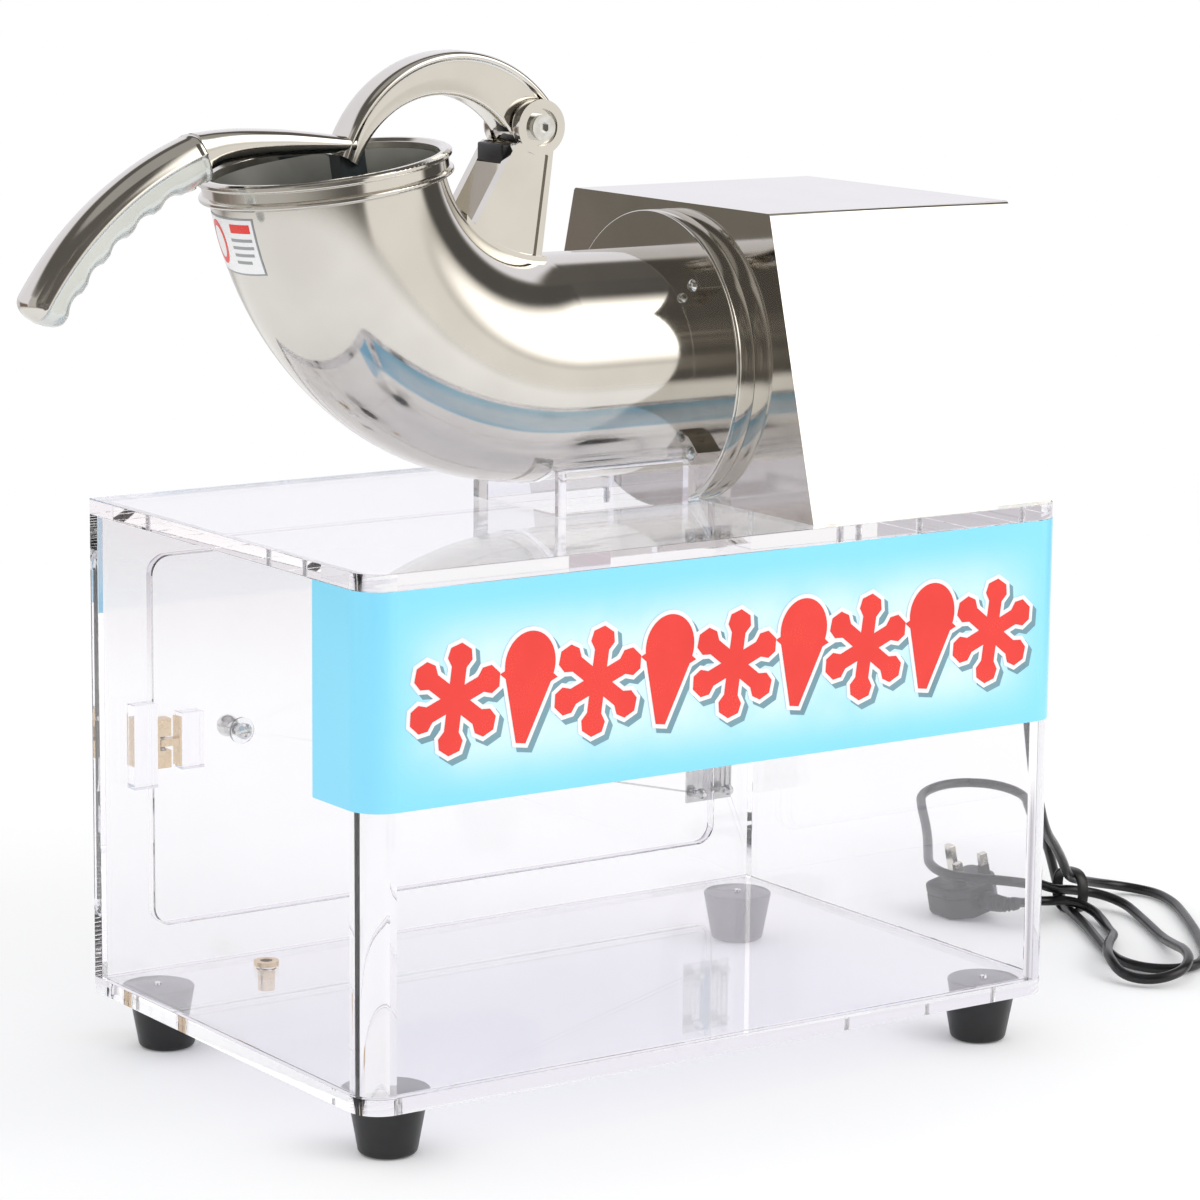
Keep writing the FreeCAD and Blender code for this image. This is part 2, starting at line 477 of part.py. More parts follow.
# ---------------------------------------------------------------- lever
def make_lever():
    ox, oz, outer = ARM_OUTER
    ix, iz, inner = ARM_INNER
    arch = rod(outer, (ox, -ARM_HALF, oz), (ox, ARM_HALF, oz)).cut(
        rod(inner, (ix, -ARM_HALF - 1, iz), (ix, ARM_HALF + 1, iz)))
    keep = [(-200, 547, 0), (-120, 547, 0), (-95, 563, 0), (0, 563, 0), (0, 620, 0), (-200, 620, 0)]
    arch = arch.common(slab(keep, -ARM_HALF, ARM_HALF, "XZ"))
    boss = rod(16.5, (PIVOT_X, -ARM_HALF, PIVOT_Z), (PIVOT_X, ARM_HALF, PIVOT_Z))
    bar_outline = [(-276, 560, 0), (-233, 561.3, 120), (-200, 558.6, 60), (-172, 552, 0),
                   (-160, 546.5, 0), (-200, 545, 60), (-240, 544.3, 60), (-262, 541, 20), (-269, 533, 0)]
    bar = slab(bar_outline, -ARM_HALF, ARM_HALF, "XZ")
    arm = fused([arch, boss, bar]).cut(rod(8.0, (PIVOT_X, -20, PIVOT_Z), (PIVOT_X, 20, PIVOT_Z)))
    bushing = pipe(8.0, 5.05, (PIVOT_X, -ARM_HALF - 0.6, PIVOT_Z), (PIVOT_X, ARM_HALF + 0.6, PIVOT_Z))

    gx, gz, bend = GRIP_BEND
    start = math.radians(GRIP_START)
    middle = Vector(gx + bend * math.cos(start), 0, gz + bend * math.sin(start))
    along = Vector(-math.sin(start), 0, math.cos(start))
    ellipse = Part.Ellipse(middle + Y_AXIS * (GRIP_WIDE / 2),
                           middle + along.cross(Y_AXIS) * (GRIP_TALL / 2), middle)
    section = Part.Face(Part.Wire(ellipse.toShape()))
    grip = section.revolve(Vector(gx, 0, gz), Y_AXIS, -GRIP_SWEEP)
    grip = grip.cut(arm)
    for i in range(5):
        turn = math.radians(GRIP_START + 9 + 6.6 * i)
        reach = bend - GRIP_TALL / 2 - 7.5
        x, z = gx + reach * math.cos(turn), gz + reach * math.sin(turn)
        grip = grip.cut(rod(10.5, (x, -20, z), (x, 20, z)))
    turn = math.radians(GRIP_START + 3.4)
    low, high = bend - GRIP_TALL / 2 - 1.5, bend - GRIP_TALL / 2 + 9
    ends = [(gx + r * math.cos(turn), 0, gz + r * math.sin(turn)) for r in (low, high, low + 3)]
    screw = fused([rod(1.8, ends[0], ends[1]), rod(3.4, ends[0], ends[2])])
    grip = grip.cut(rod(1.8, ends[0], ends[1])).cut(rod(3.4, ends[0], ends[2]))

    stem_r, stem_half, plate_r, plate_t = 128.0, 9.0, 57.0, 7.0
    first, last = 4.0, 62.0
    turn = math.radians(180 + first)
    corners = []
    for radius, y in ((stem_r - stem_half, -6), (stem_r + stem_half, -6), (stem_r + stem_half, 6),
                      (stem_r - stem_half, 6)):
        corners.append(Vector(PIVOT_X + radius * math.cos(turn), y, PIVOT_Z + radius * math.sin(turn)))
    stem = Part.Face(Part.makePolygon(corners + corners[:1])).revolve(
        Vector(PIVOT_X, 0, PIVOT_Z), Y_AXIS, -(last - first))
    turn = math.radians(180 + last)
    hub = Vector(PIVOT_X + ELBOW_R * math.cos(turn), 0, PIVOT_Z + ELBOW_R * math.sin(turn))
    ahead = Vector(-math.sin(turn), 0, math.cos(turn))
    plate = Part.makeCylinder(plate_r, plate_t, hub - ahead * 3, ahead)
    pusher = fused([stem, plate])
    return {"lever_arm": arm, "lever_bushing": bushing, "handle_grip": grip, "grip_screw": screw,
            "pusher_plate": pusher}


# ---------------------------------------------------------------- motor housing and drive
def housing_half(height):
    """Half width of the housing at a height above the lid."""
    return HOUSING_LOW - (HOUSING_LOW - HOUSING_TOP) * height / HOUSING_HEIGHT


def housing_outline(inset, bottom, top):
    """Trapezoid in YZ at an inset from the outer faces."""
    slope = math.atan2(HOUSING_LOW - HOUSING_TOP, HOUSING_HEIGHT)
    side = inset / math.cos(slope)
    low, high = housing_half(bottom) - side, housing_half(top) - side
    radius = max(3.0 - inset, 0.8)
    return [(-low, CAB_HEIGHT + bottom, 0), (low, CAB_HEIGHT + bottom, 0),
            (high, CAB_HEIGHT + top, radius), (-high, CAB_HEIGHT + top, radius)]


def housing_screw_places():
    xs = (HOUSING_X0 + 22, HOUSING_X1 - 22)
    return [(x, side * (HOUSING_LOW - 11)) for x in xs for side in (-1, 1)]


def make_housing():
    shell = slab(housing_outline(0, 0, HOUSING_HEIGHT), HOUSING_X0, HOUSING_X1, "YZ")
    inside = slab(housing_outline(SHEET, -1, HOUSING_HEIGHT - SHEET), HOUSING_X0 + SHEET,
                  HOUSING_X1 - SHEET, "YZ")
    shell = shell.cut(inside)
    for side in (-1, 1):
        lip = sorted((side * (HOUSING_LOW - 1), side * (HOUSING_LOW - 20)))
        flange = box(HOUSING_X0 + SHEET, HOUSING_X1 - SHEET, lip[0], lip[1], CAB_HEIGHT, CAB_HEIGHT + SHEET)
        shell = shell.fuse(flange)
    shell = shell.removeSplitter()
    shell = shell.cut(rod(12, (HOUSING_X0 - 1, 0, AXIS_Z), (HOUSING_X0 + 3, 0, AXIS_Z)))
    rear = HOUSING_X1 - SHEET - 1, HOUSING_X1 + 1
    for i in range(6):
        for side in (-1, 1):
            y = side * (24 + 11 * i)
            vent = rectangle(y - 2, y + 2, CAB_HEIGHT + 100, CAB_HEIGHT + 150, 1.9)
            shell = shell.cut(slab(vent, rear[0], rear[1], "YZ"))
    shell = shell.cut(rod(6.0, (rear[0], CORD_EXIT[1], CORD_EXIT[2]), (rear[1], CORD_EXIT[1], CORD_EXIT[2])))
    window = rectangle(SWITCH_Y - 9.6, SWITCH_Y + 9.6, SWITCH_Z - 6.6, SWITCH_Z + 6.6)
    shell = shell.cut(slab(window, rear[0], rear[1], "YZ"))
    screws = []
    for x, y in housing_screw_places():
        low = CAB_HEIGHT - ACRYLIC
        shell = shell.cut(rod(2.6, (x, y, CAB_HEIGHT - 1), (x, y, CAB_HEIGHT + 3)))
        screws.append(fused([rod(2.5, (x, y, low), (x, y, CAB_HEIGHT + 8)),
                             dome_head(4.8, 2.8, (x, y, low), (0, 0, -1)),
                             hexagon(8.0, (x, y, CAB_HEIGHT + SHEET), 4, "Z")]))
    return {"motor_housing": shell, "housing_screws": group(screws)}


def make_switch_and_gland():
    y0, y1, z0, z1 = SWITCH_Y - 9.5, SWITCH_Y + 9.5, SWITCH_Z - 6.5, SWITCH_Z + 6.5
    bezel = slab(rectangle(y0 - 1.5, y1 + 1.5, z0 - 1.5, z1 + 1.5, 1.2), HOUSING_X1, HOUSING_X1 + 2, "YZ")
    frame = fused([bezel, box(HOUSING_X1 - 14, HOUSING_X1, y0, y1, z0, z1)])
    frame = frame.cut(box(HOUSING_X1 - 6, HOUSING_X1 + 3, y0 + 1.5, y1 - 1.5, z0 + 1.5, z1 - 1.5))
    rocker_outline = [(HOUSING_X1 - 2, y0 + 3.2, 0), (HOUSING_X1 + 1.4, y0 + 3.2, 0.5),
                      (HOUSING_X1 + 0.6, SWITCH_Y, 0), (HOUSING_X1 + 3.2, y1 - 3.2, 0.5),
                      (HOUSING_X1 - 0.6, y1 - 3.2, 0), (HOUSING_X1 - 4.0, SWITCH_Y, 0)]
    hub = rod(2.2, (HOUSING_X1 - 2.5, SWITCH_Y, z0 + 2.0), (HOUSING_X1 - 2.5, SWITCH_Y, z1 - 2.0))
    rocker = slab(rocker_outline, z0 + 2.0, z1 - 2.0, "XY").fuse(hub)
    gland = fused([rod(9, (HOUSING_X1, *CORD_EXIT[1:]), (HOUSING_X1 + 4, *CORD_EXIT[1:])),
                   rod(5.9, (HOUSING_X1 - 6, *CORD_EXIT[1:]), (HOUSING_X1, *CORD_EXIT[1:])),
                   cone(6.6, 4.6, (HOUSING_X1 + 4, *CORD_EXIT[1:]), CORD_EXIT)])
    return {"switch_frame": frame, "switch_rocker": rocker, "cord_gland": gland}


def make_motor():
    axis = (0, AXIS_Z)
    can_x0, can_x1 = HOUSING_X0 + 36, HOUSING_X0 + 120
    foot_t, post = 4.0, 12.0
    posts = [(can_x0, can_x0 + post), (can_x1 - post, can_x1)]
    mount = [box(can_x0, can_x1, -58, 58, CAB_HEIGHT, CAB_HEIGHT + foot_t)]
    mount += [box(x0, x1, -42, 42, CAB_HEIGHT + foot_t, AXIS_Z - 30) for x0, x1 in posts]
    mount = fused(mount).cut(rod(STATOR_R, (can_x0 - 1, *axis), (can_x1 + 1, *axis)))
    can = pipe(STATOR_R, STATOR_BORE, (can_x0, *axis), (can_x1, *axis))
    bearing_r, bell_t = 16.0, 10.0
    bells, bearings = [], []
    for face, side in ((can_x0, -1), (can_x1, 1)):
        outer = rod(STATOR_R, (face, *axis), (face + side * bell_t, *axis))
        bells.append(outer.cut(rod(bearing_r, (can_x0 - 40, *axis), (can_x1 + 40, *axis))))
        bearings.append(pipe(bearing_r, SHAFT_R + 0.05, (face, *axis), (face + side * bell_t, *axis)))
    can_y, can_r = -104, 17.5
    capacitor = rod(can_r, (can_x0, can_y, CAB_HEIGHT + 22), (can_x0 + 58, can_y, CAB_HEIGHT + 22))
    clip = box(can_x0 + 6, can_x0 + 52, can_y - 8, can_y + 8, CAB_HEIGHT, CAB_HEIGHT + 8)
    capacitor = fused([capacitor, clip])
    shaft = rod(SHAFT_R, (COVER_X - 1, *axis), (can_x1 + bell_t + 2, *axis))
    core = pipe(STATOR_BORE - 0.8, SHAFT_R, (can_x0 + 6, *axis), (can_x1 - 6, *axis))
    return {"motor_mount": mount, "stator_can": can, "motor_end_bells": group(bells),
            "motor_bearings": group(bearings), "capacitor": capacitor, "motor_shaft": shaft,
            "rotor_core": core}


def make_blades():
    """Disc behind the cover, with three slots, each with a blade screwed along its edge."""
    face, back = COVER_X + 4.6, COVER_X + 8.0
    middle = (0, 0, AXIS_Z)
    disc = pipe(BLADE_DISC_R, SHAFT_R, (face, 0, AXIS_Z), (back, 0, AXIS_Z))
    blade_span = (AXIS_Z + 16, AXIS_Z + 66)
    blades, screws = [], []
    for i in range(3):
        turn = 120 * i
        slot = box(face - 1, back + 1, 1.5, 7.5, *blade_span)
        disc = disc.cut(at_angle(slot, middle, turn, X_AXIS))
        edge = [(face, -12, 0), (face - 2, -12, 0), (face - 2, 0, 0), (face - 2.8, 4, 0), (face, -1.5, 0)]
        blade = slab(edge, blade_span[0], blade_span[1], "XY")
        for z in (AXIS_Z + 26, AXIS_Z + 56):
            hole = rod(1.6, (face - 3, -7, z), (back + 1, -7, z))
            blade = blade.cut(hole)
            disc = disc.cut(at_angle(hole, middle, turn, X_AXIS))
            screw = fused([rod(1.55, (face - 2, -7, z), (back, -7, z)),
                           dome_head(3.0, 1.6, (face - 2, -7, z), (-1, 0, 0))])
            screws.append(at_angle(screw, middle, turn, X_AXIS))
        blades.append(at_angle(blade, middle, turn, X_AXIS))
    nut = hexagon(17.0, (COVER_X - 3.4, 0, AXIS_Z), 8.0, "X")
    nut = nut.cut(rod(SHAFT_R, (COVER_X - 1, 0, AXIS_Z), (COVER_X + 9, 0, AXIS_Z)))
    return {"blade_disc": disc, "shaver_blades": group(blades), "blade_screws": group(screws),
            "disc_nut": nut}


# ---------------------------------------------------------------- cord and plug
def make_cord():
    tie_x, tie_y, tie_z = TIE_SIZE
    cx, cy = TIE_AT
    tie = box(cx - tie_x / 2, cx + tie_x / 2, cy - tie_y / 2, cy + tie_y / 2, FLOOR, FLOOR + tie_z)
    lead = route_tube(LEAD_ROUTE, CORD_R, "power_cord").cut(tie)
    loop = route_tube(LOOP_ROUTE, CORD_R, "cord_loop").cut(tie)
    tail = route_tube(TAIL_ROUTE, CORD_R, "cord tail").cut(tie)
    hank = slab(HANK_OUTLINE, FLOOR, HANK_TOP).cut(tie)
    loop, tail = loop.cut(hank), tail.cut(hank)

    px, py = PLUG_AT
    half_x, half_y, tall = PLUG_SIZE[0] / 2, PLUG_SIZE[1] / 2, PLUG_SIZE[2]
    cheek = 12.0
    near_side = [(px - half_x, py - half_y, 8), (px + half_x - cheek, py - half_y, 8),
                 (px + half_x, py - cheek, 4)]
    body_outline = near_side + [(x, 2 * py - y, radius) for x, y, radius in reversed(near_side)]
    exit_z = FLOOR + 11
    body = fused([slab(body_outline, FLOOR, FLOOR + tall),
                  cone(7.5, 5.0, (px + half_x - 2, py + 2, exit_z),
                       (px + RELIEF_TIP[0], py + RELIEF_TIP[1], exit_z))])
    face = FLOOR + tall
    earth = (8.0, 4.0, 22.7)                 # length, width and height of the earth pin
    live = (6.35, 4.0, 17.7)
    pitch = 22.2                             # live to neutral, and earth to the line between them
    pins = []
    for x, y, (long_side, short_side, height) in ((px - pitch / 2, py, earth),
                                                  (px + pitch / 2, py - pitch / 2, live),
                                                  (px + pitch / 2, py + pitch / 2, live)):
        reach_x, reach_y = (long_side, short_side) if height > 20 else (short_side, long_side)
        pins.append(box(x - reach_x / 2, x + reach_x / 2, y - reach_y / 2, y + reach_y / 2,
                        face, face + height))
    low_side = (px - half_y, py, FLOOR)
    body, pins = [at_angle(at_angle(shape, (px, py, 0), PLUG_TURN), low_side, -PLUG_TILT, Y_AXIS)
                  for shape in (body, group(pins))]
    lift = Vector(0, 0, FLOOR - body.optimalBoundingBox(False).ZMin)
    body.translate(lift)
    pins.translate(lift)
    loop = group([loop, tail.cut(body)])
    return {"power_cord": lead, "cord_loop": loop, "cord_hank": hank, "cord_tie": tie,
            "plug_body": body, "plug_pins": pins}


# ---------------------------------------------------------------- assembly and export
CORD_NODES = {"power_cord", "cord_loop", "cord_hank", "cord_tie", "plug_body", "plug_pins"}


def build():
    parts = {}
    for make in (make_base, make_walls, make_lid, make_hinges, make_door, make_catch, make_tube,
                 make_blade_housing, make_pivot_bracket, make_lever, make_housing,
                 make_switch_and_gland, make_motor, make_blades, make_cord):
        parts.update(make())
    parts["back_panel"] = hinge_holes(parts["back_panel"])
    return parts


def footprint_shift(parts):
    """Move that puts the machine's box, without its cord, over the origin."""
    whole = FreeCAD.BoundBox()
    for name, shape in parts.items():
        if name not in CORD_NODES:
            whole.add(shape.optimalBoundingBox(False))
    return Vector(-(whole.XMin + whole.XMax) / 2, -(whole.YMin + whole.YMax) / 2, -whole.ZMin)


def main():
    os.makedirs("parts", exist_ok=True)
    parts = build()
    shift = footprint_shift(parts)
    print(f"{len(parts)} sub-parts, shift {shift.x:.4f} {shift.y:.4f} {shift.z:.4f}")
    for name, shape in parts.items():
        shape.translate(shift)
        shape.exportStep(f"parts/{name}.step")
        if not shape.isValid() or not shape.Solids:
            print("check", name, shape.isValid(), len(shape.Solids))


main()
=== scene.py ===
import math

import bmesh
import bpy
from mathutils import Matrix, Vector


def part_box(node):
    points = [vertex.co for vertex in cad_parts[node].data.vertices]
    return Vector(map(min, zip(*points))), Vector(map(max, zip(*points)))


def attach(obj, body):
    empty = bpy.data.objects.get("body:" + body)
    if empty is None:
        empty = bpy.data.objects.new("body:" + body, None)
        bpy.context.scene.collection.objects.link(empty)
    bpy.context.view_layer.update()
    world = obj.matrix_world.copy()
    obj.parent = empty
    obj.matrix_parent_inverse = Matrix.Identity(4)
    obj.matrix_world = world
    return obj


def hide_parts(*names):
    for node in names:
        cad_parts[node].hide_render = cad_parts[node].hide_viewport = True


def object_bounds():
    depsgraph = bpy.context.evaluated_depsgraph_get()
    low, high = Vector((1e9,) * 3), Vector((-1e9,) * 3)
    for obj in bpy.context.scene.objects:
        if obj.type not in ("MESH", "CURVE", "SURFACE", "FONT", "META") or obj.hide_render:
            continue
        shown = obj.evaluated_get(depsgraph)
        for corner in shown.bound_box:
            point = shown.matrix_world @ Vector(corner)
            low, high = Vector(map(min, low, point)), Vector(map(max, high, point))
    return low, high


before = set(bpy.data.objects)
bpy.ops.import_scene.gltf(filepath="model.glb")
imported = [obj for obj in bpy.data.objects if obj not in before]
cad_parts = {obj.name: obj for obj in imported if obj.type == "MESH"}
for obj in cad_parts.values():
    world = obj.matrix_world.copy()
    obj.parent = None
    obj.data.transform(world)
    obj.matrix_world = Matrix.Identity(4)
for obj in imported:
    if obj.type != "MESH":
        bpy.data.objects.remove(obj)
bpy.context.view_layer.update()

MM = 0.001
base_low, base_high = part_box("base_plate")
CENTRE = Vector(((base_low.x + base_high.x) / 2, (base_low.y + base_high.y) / 2, base_low.z))


def at(x, y, z):
    """Row-frame point for millimetres measured from the middle of the cabinet's underside."""
    return CENTRE + Vector((x, y, z)) * MM


# ---------------------------------------------------------------- camera
LENS, SENSOR = 130.74, 36.0
AZIMUTH, PITCH, ROLL = (math.radians(a) for a in (34.684, 10.399, 0.543))
AHEAD = Vector((math.sin(AZIMUTH) * math.cos(PITCH), math.cos(AZIMUTH) * math.cos(PITCH),
                -math.sin(PITCH)))
CAMERA_AT = (-1532.8, -2238.9, 754.0)
level = Vector((math.cos(AZIMUTH), -math.sin(AZIMUTH), 0))
rise = level.cross(AHEAD)
side = level * math.cos(ROLL) + rise * math.sin(ROLL)
over = rise * math.cos(ROLL) - level * math.sin(ROLL)
lens_data = bpy.data.cameras.new("camera")
lens_data.lens, lens_data.sensor_width, lens_data.clip_end = LENS, SENSOR, 60
camera = bpy.data.objects.new("camera", lens_data)
bpy.context.collection.objects.link(camera)
turn = Matrix((side, over, -AHEAD)).transposed().to_4x4()
camera.matrix_world = Matrix.Translation(at(*CAMERA_AT)) @ turn
bpy.context.scene.camera = camera


# ---------------------------------------------------------------- shader helpers
class Graph:
    """Adds and joins shader nodes in one tree."""

    def __init__(self, tree):
        self.tree = tree
        tree.nodes.clear()

    def put(self, kind, inputs=None, **settings):
        node = self.tree.nodes.new(kind)
        for key, value in settings.items():
            setattr(node, key, value)
        for key, value in (inputs or {}).items():
            self.set(node.inputs[key], value)
        return node

    def set(self, socket, value):
        if isinstance(value, bpy.types.NodeSocket):
            self.tree.links.new(value, socket)
        elif isinstance(value, tuple) and len(value) == 3 and socket.type == "RGBA":
            socket.default_value = (*value, 1)
        else:
            socket.default_value = value

    def math(self, kind, a, b=0.0):
        return self.put("ShaderNodeMath", {0: a, 1: b}, operation=kind).outputs[0]

    def ramp(self, value, low, high, to_low=0.0, to_high=1.0, kind="SMOOTHSTEP"):
        inputs = {"Value": value, "From Min": low, "From Max": high, "To Min": to_low, "To Max": to_high}
        return self.put("ShaderNodeMapRange", inputs, interpolation_type=kind).outputs["Result"]

    def mix(self, amount, a, b):
        node = self.put("ShaderNodeMix", data_type="RGBA")
        self.set(node.inputs["Factor"], amount)
        self.set(node.inputs[6], a)
        self.set(node.inputs[7], b)
        return node.outputs[2]

    def noise(self, place, scale, detail=3.0, stretch=(1, 1, 1)):
        mapped = self.put("ShaderNodeMapping", {"Vector": place, "Scale": stretch})
        inputs = {"Vector": mapped.outputs[0], "Scale": scale, "Detail": detail}
        return self.put("ShaderNodeTexNoise", inputs).outputs["Fac"]


def shaded(name, light, dark, rough, metallic=0.0, patch=18, grain=900, bump=0.03, **extra):
    """Material whose colour and roughness wander between two values over a finely grained surface."""
    material = bpy.data.materials.new(name)
    material.use_nodes = True
    g = Graph(material.node_tree)
    place = g.put("ShaderNodeTexCoord").outputs["Object"]
    broad = g.noise(place, patch)
    fine = g.noise(place, grain, 4.0)
    colour = g.mix(g.ramp(broad, 0.3, 0.7), dark, light)
    roughness = g.ramp(g.math("ADD", broad, g.math("MULTIPLY", fine, 0.4)), 0.4, 1.0, rough[0], rough[1])
    relief = g.put("ShaderNodeBump", {"Strength": bump, "Distance": 0.0004, "Height": fine})
    shader = g.put("ShaderNodeBsdfPrincipled", {"Base Color": colour, "Roughness": roughness,
                                                "Metallic": metallic, "Normal": relief.outputs[0]})
    for key, value in extra.items():
        g.set(shader.inputs[key.replace("_", " ")], value)
    out = g.put("ShaderNodeOutputMaterial", {"Surface": shader.outputs[0]})
    return material, g, shader, out, place


def clear(name, tint, rough, ior, edge=0.0):
    """Clear plastic with faint handling marks; lamps and soft light pass straight through it."""
    material, g, shader, out, place = shaded(name, tint, tuple(c * 0.985 for c in tint), rough, patch=6,
                                             grain=60, bump=0.004, Transmission_Weight=1.0, IOR=ior)
    straight = g.put("ShaderNodeBsdfTransparent", {"Color": tint})
    path = g.put("ShaderNodeLightPath")
    passing = g.math("MAXIMUM", path.outputs["Is Shadow Ray"], path.outputs["Is Diffuse Ray"])
    both = g.put("ShaderNodeMixShader", {0: passing, 1: shader.outputs[0], 2: straight.outputs[0]})
    g.set(out.inputs["Surface"], both.outputs[0])
    return material


FINISHES = {
    "acrylic": clear("acrylic", (0.985, 0.98, 0.995), (0.0, 0.012), 1.49),
    "clear_washer": clear("clear_washer", (0.93, 0.95, 0.95), (0.02, 0.08), 1.5),
}
PLAIN = {
    "mirror_steel": ((0.70, 0.675, 0.63), (0.64, 0.615, 0.57), (0.06, 0.11), 1.0, 14, 260, 0.012),
    "cast_nickel": ((0.70, 0.675, 0.63), (0.665, 0.64, 0.595), (0.06, 0.11), 1.0, 30, 420, 0.018),
    "silver_grip": ((0.68, 0.70, 0.67), (0.62, 0.64, 0.61), (0.16, 0.24), 0.75, 30, 500, 0.012),
    "bright_screws": ((0.76, 0.76, 0.75), (0.62, 0.62, 0.60), (0.08, 0.2), 1.0, 200, 1500, 0.08),
    "hinge_steel": ((0.72, 0.72, 0.70), (0.60, 0.60, 0.58), (0.15, 0.28), 1.0, 90, 900, 0.08),
    "brass": ((0.80, 0.62, 0.40), (0.68, 0.50, 0.30), (0.2, 0.36), 1.0, 120, 1200, 0.1),
    "ball_steel": ((0.64, 0.64, 0.65), (0.56, 0.56, 0.57), (0.1, 0.2), 1.0, 200, 1500, 0.04),
    "rubber": ((0.010, 0.010, 0.011), (0.005, 0.005, 0.006), (0.30, 0.42), 0.0, 60, 1400, 0.25),
    "pusher_plastic": ((0.045, 0.055, 0.06), (0.02, 0.026, 0.03), (0.3, 0.45), 0.0, 40, 600, 0.15),
    "motor_paint": ((0.06, 0.07, 0.08), (0.035, 0.04, 0.048), (0.4, 0.55), 0.0, 40, 700, 0.2),
    "motor_alloy": ((0.62, 0.62, 0.61), (0.48, 0.48, 0.47), (0.35, 0.5), 1.0, 60, 500, 0.25),
    "core_steel": ((0.45, 0.45, 0.45), (0.30, 0.30, 0.30), (0.3, 0.45), 1.0, 60, 900, 0.2),
    "blade_steel": ((0.70, 0.71, 0.72), (0.60, 0.61, 0.62), (0.12, 0.22), 1.0, 60, 900, 0.06),
    "black_plastic": ((0.014, 0.014, 0.015), (0.008, 0.008, 0.009), (0.32, 0.46), 0.0, 50, 1100, 0.2),
    "switch_red": ((0.62, 0.03, 0.025), (0.5, 0.02, 0.018), (0.22, 0.34), 0.0, 60, 900, 0.08),
    "capacitor_plastic": ((0.78, 0.78, 0.76), (0.7, 0.7, 0.68), (0.3, 0.42), 0.0, 40, 800, 0.1),
    "cord_jacket": ((0.008, 0.008, 0.009), (0.004, 0.004, 0.005), (0.26, 0.36), 0.0, 50, 1300, 0.12),
    "tube_inside": ((0.66, 0.66, 0.62), (0.54, 0.54, 0.50), (0.36, 0.50), 0.8, 25, 700, 0.06),
    "plug_pin_metal": ((0.80, 0.77, 0.70), (0.70, 0.66, 0.58), (0.18, 0.3), 1.0, 200, 1500, 0.05),
    "print_red": ((0.86, 0.045, 0.03), (0.80, 0.035, 0.025), (0.2, 0.3), 0.0, 20, 900, 0.02),
    "print_white": ((0.93, 0.93, 0.93), (0.89, 0.89, 0.90), (0.2, 0.3), 0.0, 20, 900, 0.02),
    "print_shade": ((0.20, 0.36, 0.42), (0.16, 0.30, 0.36), (0.25, 0.35), 0.0, 20, 900, 0.02),
    "print_grey": ((0.34, 0.35, 0.36), (0.28, 0.29, 0.30), (0.25, 0.35), 0.0, 20, 900, 0.02),
}
for key, (light, dark, rough, metallic, patch, grain, bump) in PLAIN.items():
    FINISHES[key] = shaded(key, light, dark, rough, metallic, patch, grain, bump)[0]

# the label: light blue film with a pale glow behind its decoration
PRINT_Z = 243.0                              # middle of the decoration
LABEL_MIDDLE, LABEL_HALF = at(0, -166.5, PRINT_Z), Vector((0.235, 0, 0.050))
film, g, shader, out, place = shaded("label_film", (0.26, 0.75, 0.98), (0.25, 0.73, 0.97), (0.12, 0.2), 0.0,
                                     12, 500, 0.01)
spot = g.put("ShaderNodeSeparateXYZ", {0: place})
across = g.math("ABSOLUTE", g.math("SUBTRACT", spot.outputs[0], LABEL_MIDDLE.x))
upward = g.math("ABSOLUTE", g.math("SUBTRACT", spot.outputs[2], LABEL_MIDDLE.z))
glow = g.math("MULTIPLY", g.ramp(across, LABEL_HALF.x - 0.05, LABEL_HALF.x + 0.02, 1.0, 0.0),
              g.ramp(upward, LABEL_HALF.z - 0.03, LABEL_HALF.z + 0.012, 1.0, 0.0))
wander = g.math("MULTIPLY", glow, g.ramp(g.noise(place, 22), 0.25, 0.6, 0.45, 0.8))
blue = shader.inputs["Base Color"].links[0].from_socket
g.set(shader.inputs["Base Color"], g.mix(wander, blue, (0.80, 0.95, 1.0)))
FINISHES["label_film"] = film

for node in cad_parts.values():
    for entry in node.material_slots:
        entry.material = FINISHES[entry.name.split(".")[0]]


# ---------------------------------------------------------------- mesh helpers
def mesh_piece(name, points, faces, material, smooth=True, replaces=(), body=None, second=None):
    """Mesh object from points in the row frame, shaded and tied to the frame."""
    data = bpy.data.meshes.new(name)
    data.from_pydata([tuple(p) for p in points], [], faces)
    data.update()
    piece = bpy.data.objects.new(name, data)
    bpy.context.collection.objects.link(piece)
    data.materials.append(FINISHES[material])
    if second:
        data.materials.append(FINISHES[second])
    for face in data.polygons:
        face.use_smooth = smooth
    return tie(piece, replaces, body)


def tie(piece, replaces=(), body=None):
    """Hides the CAD nodes that a piece stands for and ties the piece to the body it rides on."""
    if replaces:
        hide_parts(*replaces)
    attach(piece, body or "cabinet")
    return piece


def rounded(piece, width, segments=3, angle=30):
    bevel = piece.modifiers.new("edges", "BEVEL")
    bevel.width, bevel.segments, bevel.limit_method = width * MM, segments, "ANGLE"
    bevel.angle_limit = math.radians(angle)
    return piece


def loft(rings, points=None, faces=None):
    """Skin over closed rings of equal count, with both ends filled."""
    points, faces = points if points is not None else [], faces if faces is not None else []
    first, count = len(points), len(rings[0])
    for ring in rings:
        points.extend(ring)
    for i in range(len(rings) - 1):
        for j in range(count):
            a, b = first + i * count + j, first + i * count + (j + 1) % count
            faces.append((a, b, b + count, a + count))
    faces.append(tuple(reversed(range(first, first + count))))
    last = first + (len(rings) - 1) * count
    faces.append(tuple(range(last, last + count)))
    return points, faces


def facing_out(piece):
    """Turns every face outwards."""
    shell = bmesh.new()
    shell.from_mesh(piece.data)
    bmesh.ops.recalc_face_normals(shell, faces=shell.faces)
    shell.to_mesh(piece.data)
    shell.free()
    return piece


